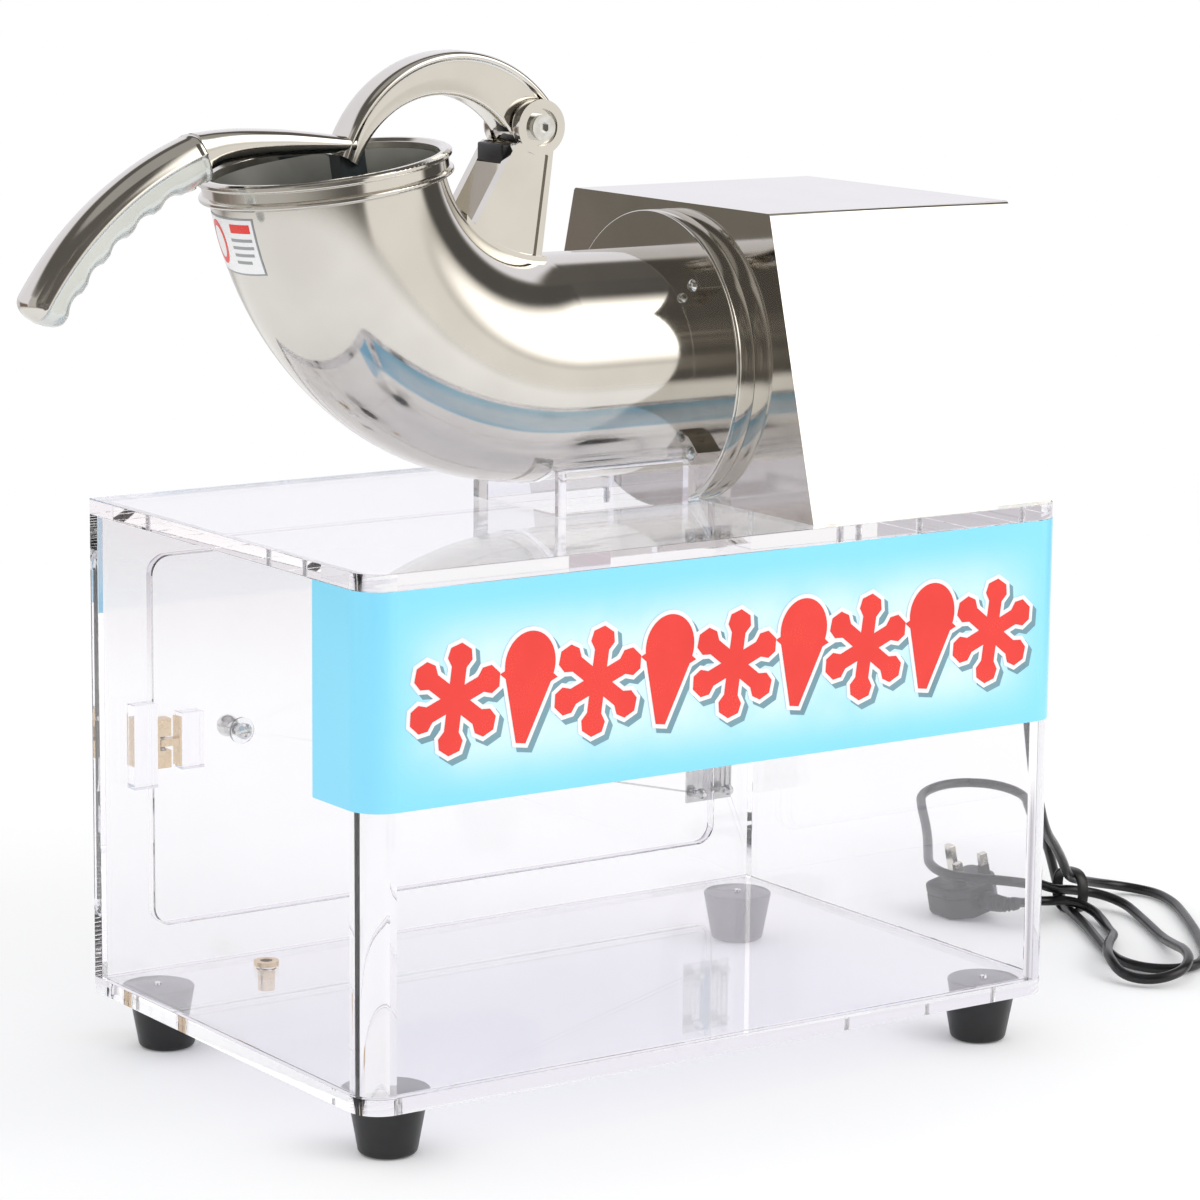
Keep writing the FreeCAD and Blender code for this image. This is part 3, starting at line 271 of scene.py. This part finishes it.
def squared(value, power):
    """Sine or cosine pushed towards its limits, which squares up the section it draws."""
    return math.copysign(abs(value) ** power, value)


def catmull(values, steps):
    """Evenly stepped smooth values through a table of (key, value) pairs."""
    result = []
    for k in range(steps + 1):
        key = values[0][0] + (values[-1][0] - values[0][0]) * k / steps
        i = max(j for j in range(len(values) - 1) if values[j][0] <= key or j == 0)
        (k0, v0), (k1, v1) = values[i], values[i + 1]
        share = (key - k0) / (k1 - k0)
        before = values[i - 1][1] if i else v0
        after = values[i + 2][1] if i + 2 < len(values) else v1
        result.append((key, 0.5 * (2 * v0 + (v1 - before) * share
                                   + (2 * before - 5 * v0 + 4 * v1 - after) * share ** 2
                                   + (3 * v0 - before - 3 * v1 + after) * share ** 3)))
    return result


# ---------------------------------------------------------------- cord, tie and plug
CORD_LEAD = [(283, -20, 345), (306, -20, 344), (327, -22, 335), (340, -25, 316), (344, -29, 288),
             (341, -34, 252), (338, -38, 210), (337, -43, 166), (339, -48, 124), (347, -46, 90),
             (369, -28, 64), (402, 0, 44), (436, 32, 24), (463, 57, 5), (484, 77, -6)]
CORD_UPPER = [(506, 92, -14), (529, 101, -21), (549, 104, -26), (564, 96, -29), (568, 76, -29),
              (560, 50, -29), (543, 20, -29), (523, -12, -29), (502, -43, -29), (482, -70, -29),
              (461, -88, -29), (438, -91, -29), (421, -77, -29), (418, -54, -29)]
CORD_LOWER = [(428, -29, -29), (442, -3, -29), (456, 22, -29), (468, 45, -29), (478, 67, -29),
              (487, 88, -28), (498, 107, -20)]
CORD_LOOP = [(510, 127, -10), (522, 148, 0), (538, 178, 7), (555, 206, 12), (573, 233, 16), (567, 265, 19),
             (540, 284, 19), (508, 278, 16), (488, 251, 12), (469, 223, 9), (448, 194, 6), (425, 165, 4),
             (404, 138, 2.5), (397, 106, 2), (418, 78, 2.5), (446, 71, -3), (470, 78, -13), (494, 84, -18)]
CORD_BACK = [(513, 77, -22), (520, 58, -26), (513, 35, -29), (500, 8, -29), (485, -22, -29), (469, -52, -25),
             (454, -79, -20), (440, -100, -20), (421, -112, -24), (400, -106, -28), (390, -87, -27),
             (397, -65, -20), (413, -45, -20), (433, -27, -20), (452, -8, -25), (467, 14, -29),
             (480, 35, -29), (486, 54, -25)]
CORD_TAIL = [(480, 72, -21), (465, 82, -22), (449, 81, -19), (434, 77, -16)]
CORD_ROUTE = CORD_LEAD + CORD_UPPER + CORD_LOWER + CORD_LOOP + CORD_BACK + CORD_TAIL
CORD_RADIUS, CORD_LENGTH = 3.5, 2.147

curve = bpy.data.curves.new("flex", "CURVE")
curve.dimensions = "3D"
curve.bevel_depth, curve.bevel_resolution, curve.use_fill_caps = CORD_RADIUS * MM, 6, True
spline = curve.splines.new("NURBS")
spline.points.add(len(CORD_ROUTE) - 1)
for point, where in zip(spline.points, CORD_ROUTE):
    point.co = (*at(*where), 1)
spline.order_u, spline.resolution_u = 3, 10
spline.use_endpoint_u = True
curve.materials.append(FINISHES["cord_jacket"])
flex = bpy.data.objects.new("flex", curve)
bpy.context.collection.objects.link(flex)
tie(flex, ("power_cord", "cord_loop", "cord_hank"), None)

# strap round the bundle
STRAP_AT, STRAP_HALF_WIDTH, STRAP_TOP, FLOOR = (487.0, 80.0), 14.5, 0.0, -33.0
strap_points, strap_faces = [], []
low, high = FLOOR + 0.2, STRAP_TOP
middle_z, half_z = (low + high) / 2, (high - low) / 2
steps, STRAP_DEPTH = 48, 1.1
outer_rings, inner_rings = [], []
for x, swell in ((-4.5, 0.0), (-4.0, 0.5), (4.0, 0.5), (4.5, 0.0)):
    for store, depth in ((outer_rings, swell), (inner_rings, -STRAP_DEPTH)):
        ring = []
        for k in range(steps):
            a = math.tau * k / steps
            y = (STRAP_HALF_WIDTH + depth) * squared(math.cos(a), 0.7)
            ring.append((x, y, middle_z + (half_z - 0.5 + depth) * squared(math.sin(a), 0.8)))
        store.append(ring)
loop_rings = outer_rings + inner_rings[::-1]
for ring in loop_rings:
    strap_points.extend(at(STRAP_AT[0] + x, STRAP_AT[1] + y, z) for x, y, z in ring)
for i in range(len(loop_rings)):
    for j in range(steps):
        a, b = i * steps + j, i * steps + (j + 1) % steps
        shift = ((i + 1) % len(loop_rings) - i) * steps
        strap_faces.append((a, b, b + shift, a + shift))
strap = facing_out(mesh_piece("hank_strap", strap_points, strap_faces, "black_plastic",
                              replaces=("cord_tie",)))

# moulded plug with a ridged relief that bends over to the flex
PLUG_AT, PLUG_TURN, PLUG_TILT = (427.0, 120.0), math.radians(-92.0), math.radians(-12.0)
PLUG_HALF = 22.5                             # half its width across the flex


def plug_frame():
    """Placement of the plug: turned on the floor, then tipped about its low side."""
    px, py = PLUG_AT
    turned = Matrix.Rotation(PLUG_TURN, 4, "Z")
    turned = Matrix.Translation((px, py, 0)) @ turned @ Matrix.Translation((-px, -py, 0))
    low_side = Vector((px - PLUG_HALF, py, FLOOR))
    tipped = Matrix.Translation(low_side) @ Matrix.Rotation(PLUG_TILT, 4, "Y") @ Matrix.Translation(-low_side)
    return tipped @ turned


PLUG = plug_frame()


def plug_ring(inset, z):
    """Outline of the plug at a height: a rounded block with both flex-side corners cut back."""
    px, py = PLUG_AT
    corners = [(-20, -PLUG_HALF, 8), (8, -PLUG_HALF, 8), (20, -10.5, 5), (20, 10.5, 5), (8, PLUG_HALF, 8),
               (-20, PLUG_HALF, 8)]
    ring = []
    for i, (x, y, radius) in enumerate(corners):
        here = Vector((x, y))
        before = (Vector(corners[i - 1][:2]) - here).normalized()
        after = (Vector(corners[(i + 1) % 6][:2]) - here).normalized()
        half = before.angle(after) / 2
        reach = min(radius / math.tan(half), 7.5)
        start, end = here + before * reach, here + after * reach
        for k in range(7):
            t = k / 6
            ring.append(start * (1 - t) ** 2 + here * 2 * t * (1 - t) + end * t ** 2)
    scaled = [p - p.normalized() * inset for p in ring]
    return [at(*(PLUG @ Vector((px + p.x, py + p.y, z)))) for p in scaled]


levels = [(3.0, 0.3), (1.2, 0.8), (0.4, 2.0), (0.0, 4.0), (0.0, 15.0), (0.2, 15.4), (0.9, 15.8), (0.9, 16.6),
          (0.2, 17.0), (0.0, 17.4), (0.0, 22.0), (0.3, 23.0), (1.0, 23.7), (2.4, 24.0)]
plug_points, plug_faces = loft([plug_ring(inset, FLOOR + z) for inset, z in levels])


def swept(route, radii, count, points, faces):
    """Round tube along a route whose radius changes from point to point."""
    hoops, up = [], Vector((0, 0, 1))
    for i, middle in enumerate(route):
        ahead = (route[min(i + 1, len(route) - 1)] - route[max(i - 1, 0)]).normalized()
        sideways = ahead.cross(up).normalized()
        upwards = sideways.cross(ahead)
        hoops.append([middle + (sideways * math.cos(math.tau * k / count)
                                + upwards * math.sin(math.tau * k / count)) * radii[i] * MM
                      for k in range(count)])
    return loft(hoops, points, faces)


RELIEF = [(426.4, 102.5, -17.5), (426.4, 93.0, -17.2), (427.2, 84.5, -16.8), (430.5, 79.0, -16.4),
          (436.5, 77.4, -16.2)]
RELIEF_WIDE, RELIEF_NARROW, GROOVE = 7.4, 4.5, 0.85     # radii at its two ends, depth of the ridges
relief_route, relief_radii, relief_steps = [], [], 54
for k in range(relief_steps + 1):
    t = k / relief_steps * (len(RELIEF) - 1)
    i = min(int(t), len(RELIEF) - 2)
    p0, p1 = RELIEF[max(i - 1, 0)], RELIEF[i]
    p2, p3 = RELIEF[i + 1], RELIEF[min(i + 2, len(RELIEF) - 1)]
    s = t - i
    relief_point = [0.5 * (2 * b + (c - a) * s + (2 * a - 5 * b + 4 * c - d) * s * s
                           + (3 * b - a - 3 * c + d) * s ** 3)
                    for a, b, c, d in zip(p0, p1, p2, p3)]
    relief_route.append(at(*relief_point))
    taper = RELIEF_WIDE + (RELIEF_NARROW - RELIEF_WIDE) * k / relief_steps
    groove = GROOVE if 8 < k < 48 and k % 6 in (0, 1, 2) else 0.0
    relief_radii.append(taper - groove)
swept(relief_route, relief_radii, 28, plug_points, plug_faces)

PIN_PLACES = ((11.1, -11.1), (11.1, 11.1))
PIN_HALF_X, PIN_HALF_Y = 2.0, 3.175
for x, y in PIN_PLACES:
    sleeve = []
    for z, grow in ((22.0, 0.25), (33.3, 0.25), (33.7, 0.05)):
        half_x, half_y = PIN_HALF_X + grow, PIN_HALF_Y + grow
        ring = [(x - half_x, y - half_y), (x + half_x, y - half_y), (x + half_x, y + half_y),
                (x - half_x, y + half_y)]
        sleeve.append([at(*(PLUG @ Vector((PLUG_AT[0] + a, PLUG_AT[1] + b, FLOOR + z)))) for a, b in ring])
    loft(sleeve, plug_points, plug_faces)
lowest = min(p.z for p in plug_points)
plug_points = [p + Vector((0, 0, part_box("plug_body")[0].z - lowest)) for p in plug_points]
plug = facing_out(mesh_piece("moulded_plug", plug_points, plug_faces, "black_plastic",
                             replaces=("plug_body",)))
plug.data.set_sharp_from_angle(angle=math.radians(40))

# ---------------------------------------------------------------- lever arm
PIVOT_X, PIVOT_Z, BOSS_R = -43.5, 557.0, 16.5
ARCH_OUTER, ARCH_INNER, ARM_HALF = (-97.8, 517.2, 87.0), (-110.7, 516.4, 61.3), 12.0


def arch_ring(outer_turn, inner_turn):
    """Section of the arch: a bead along the outer edge, then a shallow band, then a rounded inner edge."""
    ends = []
    for (cx, cz, radius), degrees in ((ARCH_OUTER, outer_turn), (ARCH_INNER, inner_turn)):
        a = math.radians(degrees)
        ends.append(Vector((cx + radius * math.cos(a), 0, cz + radius * math.sin(a))))
    outer_point, bore = ends
    inward = (bore - outer_point).normalized()
    width = (bore - outer_point).length
    profile = [(0.2, 0), (0.0, 5.0), (0.3, 8.6), (1.3, 10.9), (3.0, 12.0), (4.6, 11.9), (5.6, 11.2),
               (6.4, 10.7), (7.4, 10.5), (width * 0.62, 10.7), (width - 4.2, 11.2), (width - 2.6, 11.3),
               (width - 1.2, 10.4), (width - 0.3, 8.6), (width, 5.0), (width, 0)]
    half = [(min(max(depth, 0), width), y) for depth, y in profile]
    ring = half + [(depth, -y) for depth, y in reversed(half[1:-1])]
    return [at(*(outer_point + inward * depth + Vector((0, y, 0)))) for depth, y in ring]


arch_steps = 56
arm_points, arm_faces = loft([arch_ring(162 - 132 * k / arch_steps, 160 - 122 * k / arch_steps)
                              for k in range(arch_steps + 1)])
bar_top = catmull([(-276, 560.0), (-262, 561.2), (-248, 561.7), (-233, 561.3), (-215, 560.2), (-200, 558.6),
                   (-186, 556.8), (-171, 555.0)], 40)
bar_bottom = catmull([(-276, 534.5), (-262, 540.6), (-248, 543.2), (-233, 544.3), (-215, 544.9),
                      (-200, 545.0), (-186, 545.2), (-171, 545.6)], 40)
bar_rings = []
for (x, top), (_, bottom) in zip(bar_top, bar_bottom):
    half_height, middle = (top - bottom) / 2, (top + bottom) / 2
    ring = []
    for k in range(36):
        a = math.tau * k / 36
        y = ARM_HALF * squared(math.cos(a), 0.62)
        z = half_height * squared(math.sin(a), 0.75)
        ring.append(at(x, y, middle + z))
    bar_rings.append(ring)
loft(bar_rings, arm_points, arm_faces)
boss = []
for y, radius in ((-12.0, 15.2), (-11.6, 16.1), (-10.8, BOSS_R), (10.8, BOSS_R), (11.6, 16.1), (12.0, 15.2)):
    boss.append([at(PIVOT_X + radius * math.cos(math.tau * k / 48), y,
                    PIVOT_Z + radius * math.sin(math.tau * k / 48)) for k in range(48)])
loft(boss, arm_points, arm_faces)
arm = facing_out(mesh_piece("lever_casting", arm_points, arm_faces, "cast_nickel",
                            replaces=("lever_arm",), body="lever"))
arm.data.set_sharp_from_angle(angle=math.radians(50))

# ---------------------------------------------------------------- handle grip
BEND_X, BEND_Z, BEND_R = -206.6, 357.8, 199.6
GRIP_START, GRIP_SWEEP = 109.4, 41.5
GRIP_HALF_SECTION = [(0, 14.5), (5, 14.1), (9.4, 12.5), (12.5, 9.7), (14.0, 6.4), (14.5, 4.9), (15.1, 3.9),
                     (14.9, 2.9), (14.0, 2.2), (13.9, 0.4), (14.1, -3.5), (13.7, -7.6), (11.6, -11.2),
                     (7.2, -13.7), (0, -14.5)]


FIRST_HOLLOW, HOLLOW_PITCH = 9, 6.6          # degrees along the grip


def scallop(degrees):
    """How deep the finger hollows bite at an angle along the grip, in millimetres."""
    bite = 0.0
    for i in range(5):
        distance = math.radians(degrees - (GRIP_START + FIRST_HOLLOW + HOLLOW_PITCH * i)) * (BEND_R - 22)
        if abs(distance) < 10.2:
            bite = max(bite, math.sqrt(10.5 ** 2 - distance ** 2) - 7.5)
    return max(bite, 0.0)


def grip_ring(degrees, scale):
    a = math.radians(degrees)
    bite = scallop(degrees)
    half = []
    for y, r in GRIP_HALF_SECTION:
        share = max(0.0, min(1.0, (-r - 2) / 12.5))
        half.append((y * scale, r * scale + bite * share))
    ring = half + [(-y, r) for y, r in reversed(half[1:-1])]
    return [at(BEND_X + (BEND_R + r) * math.cos(a), y, BEND_Z + (BEND_R + r) * math.sin(a)) for y, r in ring]


grip_rings = [grip_ring(GRIP_START + further, scale)
              for further, scale in ((0.0, 0.97), (0.15, 1.02), (0.9, 1.04), (1.2, 1.0))]
grip_steps, cap = 110, 3.2
for k in range(grip_steps + 1):
    grip_rings.append(grip_ring(GRIP_START + 1.4 + (GRIP_SWEEP - 1.4 - cap) * k / grip_steps, 1.0))
for k in range(1, 13):
    t = k / 12 * 0.995
    grip_rings.append(grip_ring(GRIP_START + GRIP_SWEEP - cap + cap * t, (1 - t ** 2.6) ** 0.5))
grip_points, grip_faces = loft(grip_rings)
grip = mesh_piece("hand_grip", grip_points, grip_faces, "cast_nickel", replaces=("handle_grip",),
                  body="lever", second="silver_grip")
section_count = len(grip_rings[0])
for index, face in enumerate(grip.data.polygons):
    if face.loop_total == 4 and 7 <= index % section_count <= section_count - 8:
        face.material_index = 1
facing_out(grip)
grip.data.set_sharp_from_angle(angle=math.radians(55))


# ---------------------------------------------------------------- printed decoration
def flat_shape(outline, middle, tilt, scale):
    tilted = Matrix.Rotation(tilt, 2)
    return [Vector(middle) + tilted @ Vector(p) * scale for p in outline]


def snowflake():
    """Six thick arms that flare towards their blunt tips."""
    arm_side = [(0.15, 0.15 * math.sqrt(3)), (0.15, 0.56), (0.25, 0.70), (0.21, 0.88)]
    outline = []
    for i in range(6):
        a = math.pi / 3 * i
        whole = [(-x, y) for x, y in arm_side[1:]] + [(0, 0.98)] + arm_side[::-1]
        outline += [(x * math.cos(a) + y * math.sin(a), y * math.cos(a) - x * math.sin(a)) for x, y in whole]
    return outline


def cone_cup():
    """Ball of ice standing in a pointed cup."""
    ball = [(0.52 * math.cos(math.radians(a)), 0.40 + 0.58 * math.sin(math.radians(a)))
            for a in range(-14, 195, 8)]
    return ball + [(-0.60, 0.20), (-0.47, 0.12), (-0.10, -0.98), (0.10, -0.98), (0.47, 0.12), (0.60, 0.20)]


LAYER_STEP, LABEL_FACE = 0.08, -166.9


def printed(name, shapes, grow, slide, raised, material):
    """Thin printed layer of closed shapes standing on the front face of the label."""
    layer = []
    for n, outline in enumerate(shapes):
        art = bpy.data.curves.new(f"{name}_{n}", "CURVE")
        art.dimensions, art.fill_mode = "2D", "BOTH"
        art.offset, art.extrude = grow * MM, 0.02 * MM
        line = art.splines.new("POLY")
        line.points.add(len(outline) - 1)
        for corner, (u, v) in zip(line.points, outline):
            corner.co = ((u + slide[0]) * MM, (v + slide[1]) * MM, 0, 1)
        line.use_cyclic_u = True
        drawn = bpy.data.objects.new(art.name, art)
        bpy.context.collection.objects.link(drawn)
        layer.append(drawn)
    bpy.context.view_layer.update()
    sheet_points, sheet_faces = [], []
    for drawn in layer:
        flat = drawn.to_mesh()
        first = len(sheet_points)
        stand = LABEL_FACE - raised - LAYER_STEP * (int(drawn.name.rsplit("_", 1)[1]) % 2)
        sheet_points.extend(at(v.co.x / MM, stand - v.co.z / MM, v.co.y / MM) for v in flat.vertices)
        sheet_faces.extend(tuple(first + i for i in face.vertices) for face in flat.polygons)
        drawn.to_mesh_clear()
        bpy.data.objects.remove(drawn)
    return mesh_piece(name, sheet_points, sheet_faces, material, smooth=False)


FIRST_MOTIF, MOTIF_PITCH, MOTIF_SIZE, MOTIF_TILT = -200, 50.0, 34, math.radians(-8)
motifs = []
for n in range(9):
    motif_x = FIRST_MOTIF + MOTIF_PITCH * n
    if n % 2:
        motifs.append(flat_shape(cone_cup(), (motif_x, PRINT_Z + 2), MOTIF_TILT, MOTIF_SIZE))
    else:
        motifs.append(flat_shape(snowflake(), (motif_x, PRINT_Z), MOTIF_TILT, MOTIF_SIZE))
printed("print_shadow", motifs, 2.6, (3.2, -3.2), 0.06, "print_shade")
printed("print_outline", motifs, 2.6, (0, 0), 0.24, "print_white")
printed("print_motifs", motifs, 0.0, (0, 0), 0.42, "print_red")

# ---------------------------------------------------------------- sticker below the mouth
ELBOW_X, AXIS_Z, ELBOW_R, TUBE_R = -37.0, 406.5, 151.0, 71.0


def on_elbow(along, around, raised):
    """Point on the elbow at angles along its bend and around its tube."""
    b, a = math.radians(along), math.radians(around)
    middle = Vector((ELBOW_X - ELBOW_R * math.sin(b), 0, AXIS_Z + ELBOW_R - ELBOW_R * math.cos(b)))
    away = Vector((-math.sin(b), 0, -math.cos(b)))
    return at(*(middle + (away * math.cos(a) - Vector((0, 1, 0)) * math.sin(a)) * (TUBE_R + raised)))


def sticker(name, patches, raised, material):
    """Thin patches lying on the elbow, each given by its four limits."""
    sheet_points, sheet_faces = [], []
    for b0, b1, a0, a1 in patches:
        across_n, along_n, first = 16, 10, len(sheet_points)
        for i in range(along_n + 1):
            for j in range(across_n + 1):
                along, around = b0 + (b1 - b0) * i / along_n, a0 + (a1 - a0) * j / across_n
                sheet_points.append(on_elbow(along, around, raised))
        for i in range(along_n):
            for j in range(across_n):
                k = first + i * (across_n + 1) + j
                sheet_faces.append((k, k + 1, k + across_n + 2, k + across_n + 1))
    return mesh_piece(name, sheet_points, sheet_faces, material)


sticker("sticker_edge", [(68.3, 77.6, -31, 19)], 0.10, "print_grey")
sticker("sticker_face", [(68.6, 77.3, -30, 18)], 0.16, "print_white")
sticker("sticker_bars", [(75.2, 76.6, 1, 16)], 0.22, "print_red")
sticker("sticker_lines", [(73.8, 74.3, 0, 16), (72.6, 73.1, 0, 16), (71.4, 71.9, 0, 15), (70.2, 70.7, 0, 12)],
        0.22, "print_grey")
ring_points, ring_faces = [], []
for k in range(48):
    a = math.tau * k / 48
    for scale in (0.72, 1.0):
        ring_points.append(on_elbow(73.2 + 3.6 * scale * math.cos(a), -15 + 9.0 * scale * math.sin(a), 0.22))
for k in range(48):
    a, b = 2 * k, 2 * ((k + 1) % 48)
    ring_faces.append((a, a + 1, b + 1, b))
mesh_piece("sticker_ring", ring_points, ring_faces, "print_red")

# ---------------------------------------------------------------- satin inside of the feed tube
liner_rings, around_n = [], 96
for along in [81.2 - 1.0 * k for k in range(45)]:
    liner_rings.append([on_elbow(along, 360 * k / around_n, -1.7) for k in range(around_n)])
liner_points = [point for ring in liner_rings for point in ring]
liner_faces = [(i * around_n + j, i * around_n + (j + 1) % around_n, (i + 1) * around_n + (j + 1) % around_n,
                (i + 1) * around_n + j) for i in range(len(liner_rings) - 1) for j in range(around_n)]
mesh_piece("tube_inside", liner_points, liner_faces, "tube_inside")

# black block in the rubber finish between the ears, under the arch: painted shade that stands in for the
# shaded end of the lever there
SHADE_BOX = (-69.0, -58.0, -14.0, 14.0, 535.0, 547.0)
x0, x1, y0, y1, z0, z1 = SHADE_BOX
shade_points, shade_faces = loft([[at(x0, y0, z), at(x1, y0, z), at(x1, y1, z), at(x0, y1, z)]
                                for z in (z0, z1)])
rounded(facing_out(mesh_piece("lever_stop", shade_points, shade_faces, "rubber", body="cabinet")), 1.2)

# ---------------------------------------------------------------- edges of the CAD pieces
GLUE_GAP = 0.00004                           # metres, so that glued plates don't share a face
for name, width in (("base_plate", 0.5), ("top_plate", 0.5), ("back_panel", 0.4), ("wrap_shell", 0.4),
                    ("door_panel", 0.5), ("catch_block_door", 0.4), ("catch_block_frame", 0.4),
                    ("chute_collar", 0.4), ("rubber_feet", 0.6), ("plug_pins", 0.5), ("motor_housing", 1.3),
                    ("blade_cover", 0.6), ("blade_housing", 0.6), ("pivot_bracket", 0.5)):
    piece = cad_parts[name]
    weld = piece.modifiers.new("weld", "WELD")
    weld.merge_threshold = 0.00001
    if piece.material_slots[0].name.startswith("acrylic"):
        gap = piece.modifiers.new("gap", "DISPLACE")
        gap.strength, gap.mid_level = -GLUE_GAP, 0.0
    rounded(piece, width, 2, 40)

# ---------------------------------------------------------------- floor
floor_mesh = bpy.data.meshes.new("floor")
count, reach = 96, 2.3
rim_points = [(reach * math.cos(math.tau * k / count), reach * math.sin(math.tau * k / count), 0)
              for k in range(count)]
floor_mesh.from_pydata([(0, 0, 0)] + rim_points, [], [(0, k + 1, (k + 1) % count + 1) for k in range(count)])
floor = bpy.data.objects.new("floor", floor_mesh)
floor.location = (0, 0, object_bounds()[0][2] - 0.0004)
bpy.context.collection.objects.link(floor)
sheet = bpy.data.materials.new("studio_floor")
sheet.use_nodes = True
g = Graph(sheet.node_tree)
place = g.put("ShaderNodeTexCoord").outputs["Object"]
away = g.put("ShaderNodeVectorMath", {0: place}, operation="LENGTH").outputs["Value"]
white = g.put("ShaderNodeBsdfDiffuse", {"Color": (0.88, 0.88, 0.88)})
own = g.put("ShaderNodeEmission", {"Color": (1.0, 0.995, 1.0), "Strength": 0.11})
lit = g.put("ShaderNodeAddShader", {0: white.outputs[0], 1: own.outputs[0]})
gone = g.put("ShaderNodeBsdfTransparent")
edge = g.put("ShaderNodeMixShader", {0: g.ramp(away, 1.2, 2.2), 1: lit.outputs[0], 2: gone.outputs[0]})
g.put("ShaderNodeOutputMaterial", {"Surface": edge.outputs[0]})
floor_mesh.materials.append(sheet)

# ---------------------------------------------------------------- studio
world = bpy.data.worlds.new("studio")
bpy.context.scene.world = world
world.use_nodes = True
g = Graph(world.node_tree)
way = g.put("ShaderNodeTexCoord").outputs["Generated"]
parts = g.put("ShaderNodeSeparateXYZ", {0: way})
azimuth = g.math("MULTIPLY", g.math("ARCTAN2", parts.outputs[0], parts.outputs[1]), 180 / math.pi)
elevation = g.math("MULTIPLY", g.math("ARCSINE", parts.outputs[2]), 180 / math.pi)


def window(a0, a1, e0, e1, soft_a=4.0, soft_e=3.0):
    """One inside a range of directions, falling softly to nothing outside it."""
    sides = [g.ramp(azimuth, a0 - soft_a, a0 + soft_a), g.ramp(azimuth, a1 - soft_a, a1 + soft_a, 1.0, 0.0),
             g.ramp(elevation, e0 - soft_e, e0 + soft_e),
             g.ramp(elevation, e1 - soft_e, e1 + soft_e, 1.0, 0.0)]
    inside = sides[0]
    for other in sides[1:]:
        inside = g.math("MULTIPLY", inside, other)
    return inside


streaks = g.noise(way, 3.0, 4.0, (7, 7, 0.6))
view = g.ramp(elevation, -28, -8, 0, 1)
view = g.mix(view, (0.72, 0.70, 0.66), (0.34, 0.32, 0.29))
# (where, colour), painted in this order
SHAPES = [
    (window(-181, 181, 40, 62), (0.13, 0.12, 0.11)),
    (window(-181, 181, 60, 92), (0.42, 0.41, 0.39)),
    (window(-72, 75, -1, 38), (0.97, 0.96, 1.02)),
    (window(-72, 75, -14, 1), (0.78, 0.76, 0.78)),
    (window(-62, -18, -16, -2), (0.20, 0.185, 0.16)),
    (window(78, 108, -15, 55), (0.10, 0.095, 0.09)),
    (window(114, 168, 8, 56, 12, 10), (2.7, 2.62, 2.48)),
    (window(110, 176, -16, 3), (1.0, 0.97, 0.92)),
    (window(-118, -70, -12, 40), (0.60, 0.58, 0.56)),
    (window(-181, -119, -14, 45), (0.13, 0.12, 0.11)),
    (window(176, 181, -14, 45), (0.13, 0.12, 0.11)),
]
studio = view
for inside, colour in SHAPES:
    studio = g.mix(inside, studio, colour)
striped = g.math("MULTIPLY", window(-175, -119, -6, 34), g.ramp(streaks, 0.50, 0.66))
studio = g.mix(g.math("MULTIPLY", striped, 0.55), studio, (0.62, 0.58, 0.52))
clutter = g.math("MULTIPLY", window(-62, -18, -16, -2), g.ramp(g.noise(way, 5.0, 3.0, (3, 3, 7)), 0.52, 0.60))
studio = g.mix(g.math("MULTIPLY", clutter, 0.7), studio, (0.30, 0.10, 0.07))
path = g.put("ShaderNodeLightPath")
toward = g.put("ShaderNodeVectorMath", {0: way, 1: tuple(AHEAD)}, operation="DOT_PRODUCT").outputs["Value"]
inside = path.outputs["Is Transmission Ray"]
studio = g.mix(g.math("MULTIPLY", inside, 0.64), studio, (0.80, 0.77, 0.83))
through = g.math("MULTIPLY", g.ramp(toward, 0.90, 0.955), inside)
studio = g.mix(through, studio, (0.97, 0.96, 0.955))
mirrored = g.put("ShaderNodeBackground", {"Color": studio, "Strength": 1.0})
even = g.put("ShaderNodeBackground", {"Color": (1.0, 1.0, 1.0), "Strength": 1.0})
both = g.put("ShaderNodeMixShader", {0: path.outputs["Is Glossy Ray"], 1: even.outputs[0],
                                     2: mirrored.outputs[0]})
g.put("ShaderNodeOutputWorld", {"Surface": both.outputs[0]})

LAMP_AT, LAMP_AIM = (1300, -1900, 1900), (0, 0, 250)
lamp_data = bpy.data.lights.new("key", "AREA")
lamp_data.shape, lamp_data.size, lamp_data.energy = "DISK", 1.6, 14
lamp = bpy.data.objects.new("key", lamp_data)
lamp.location = at(*LAMP_AT)
lamp.rotation_euler = (at(*LAMP_AIM) - lamp.location).to_track_quat("-Z", "Y").to_euler()
lamp.visible_glossy = False
lamp.visible_transmission = False
lamp.visible_camera = False
bpy.context.collection.objects.link(lamp)

scene = bpy.context.scene
scene.view_settings.view_transform = "Standard"
cycles = scene.cycles
cycles.caustics_reflective = cycles.caustics_refractive = False
cycles.max_bounces, cycles.transmission_bounces, cycles.glossy_bounces = 40, 36, 36
cycles.transparent_max_bounces = 32
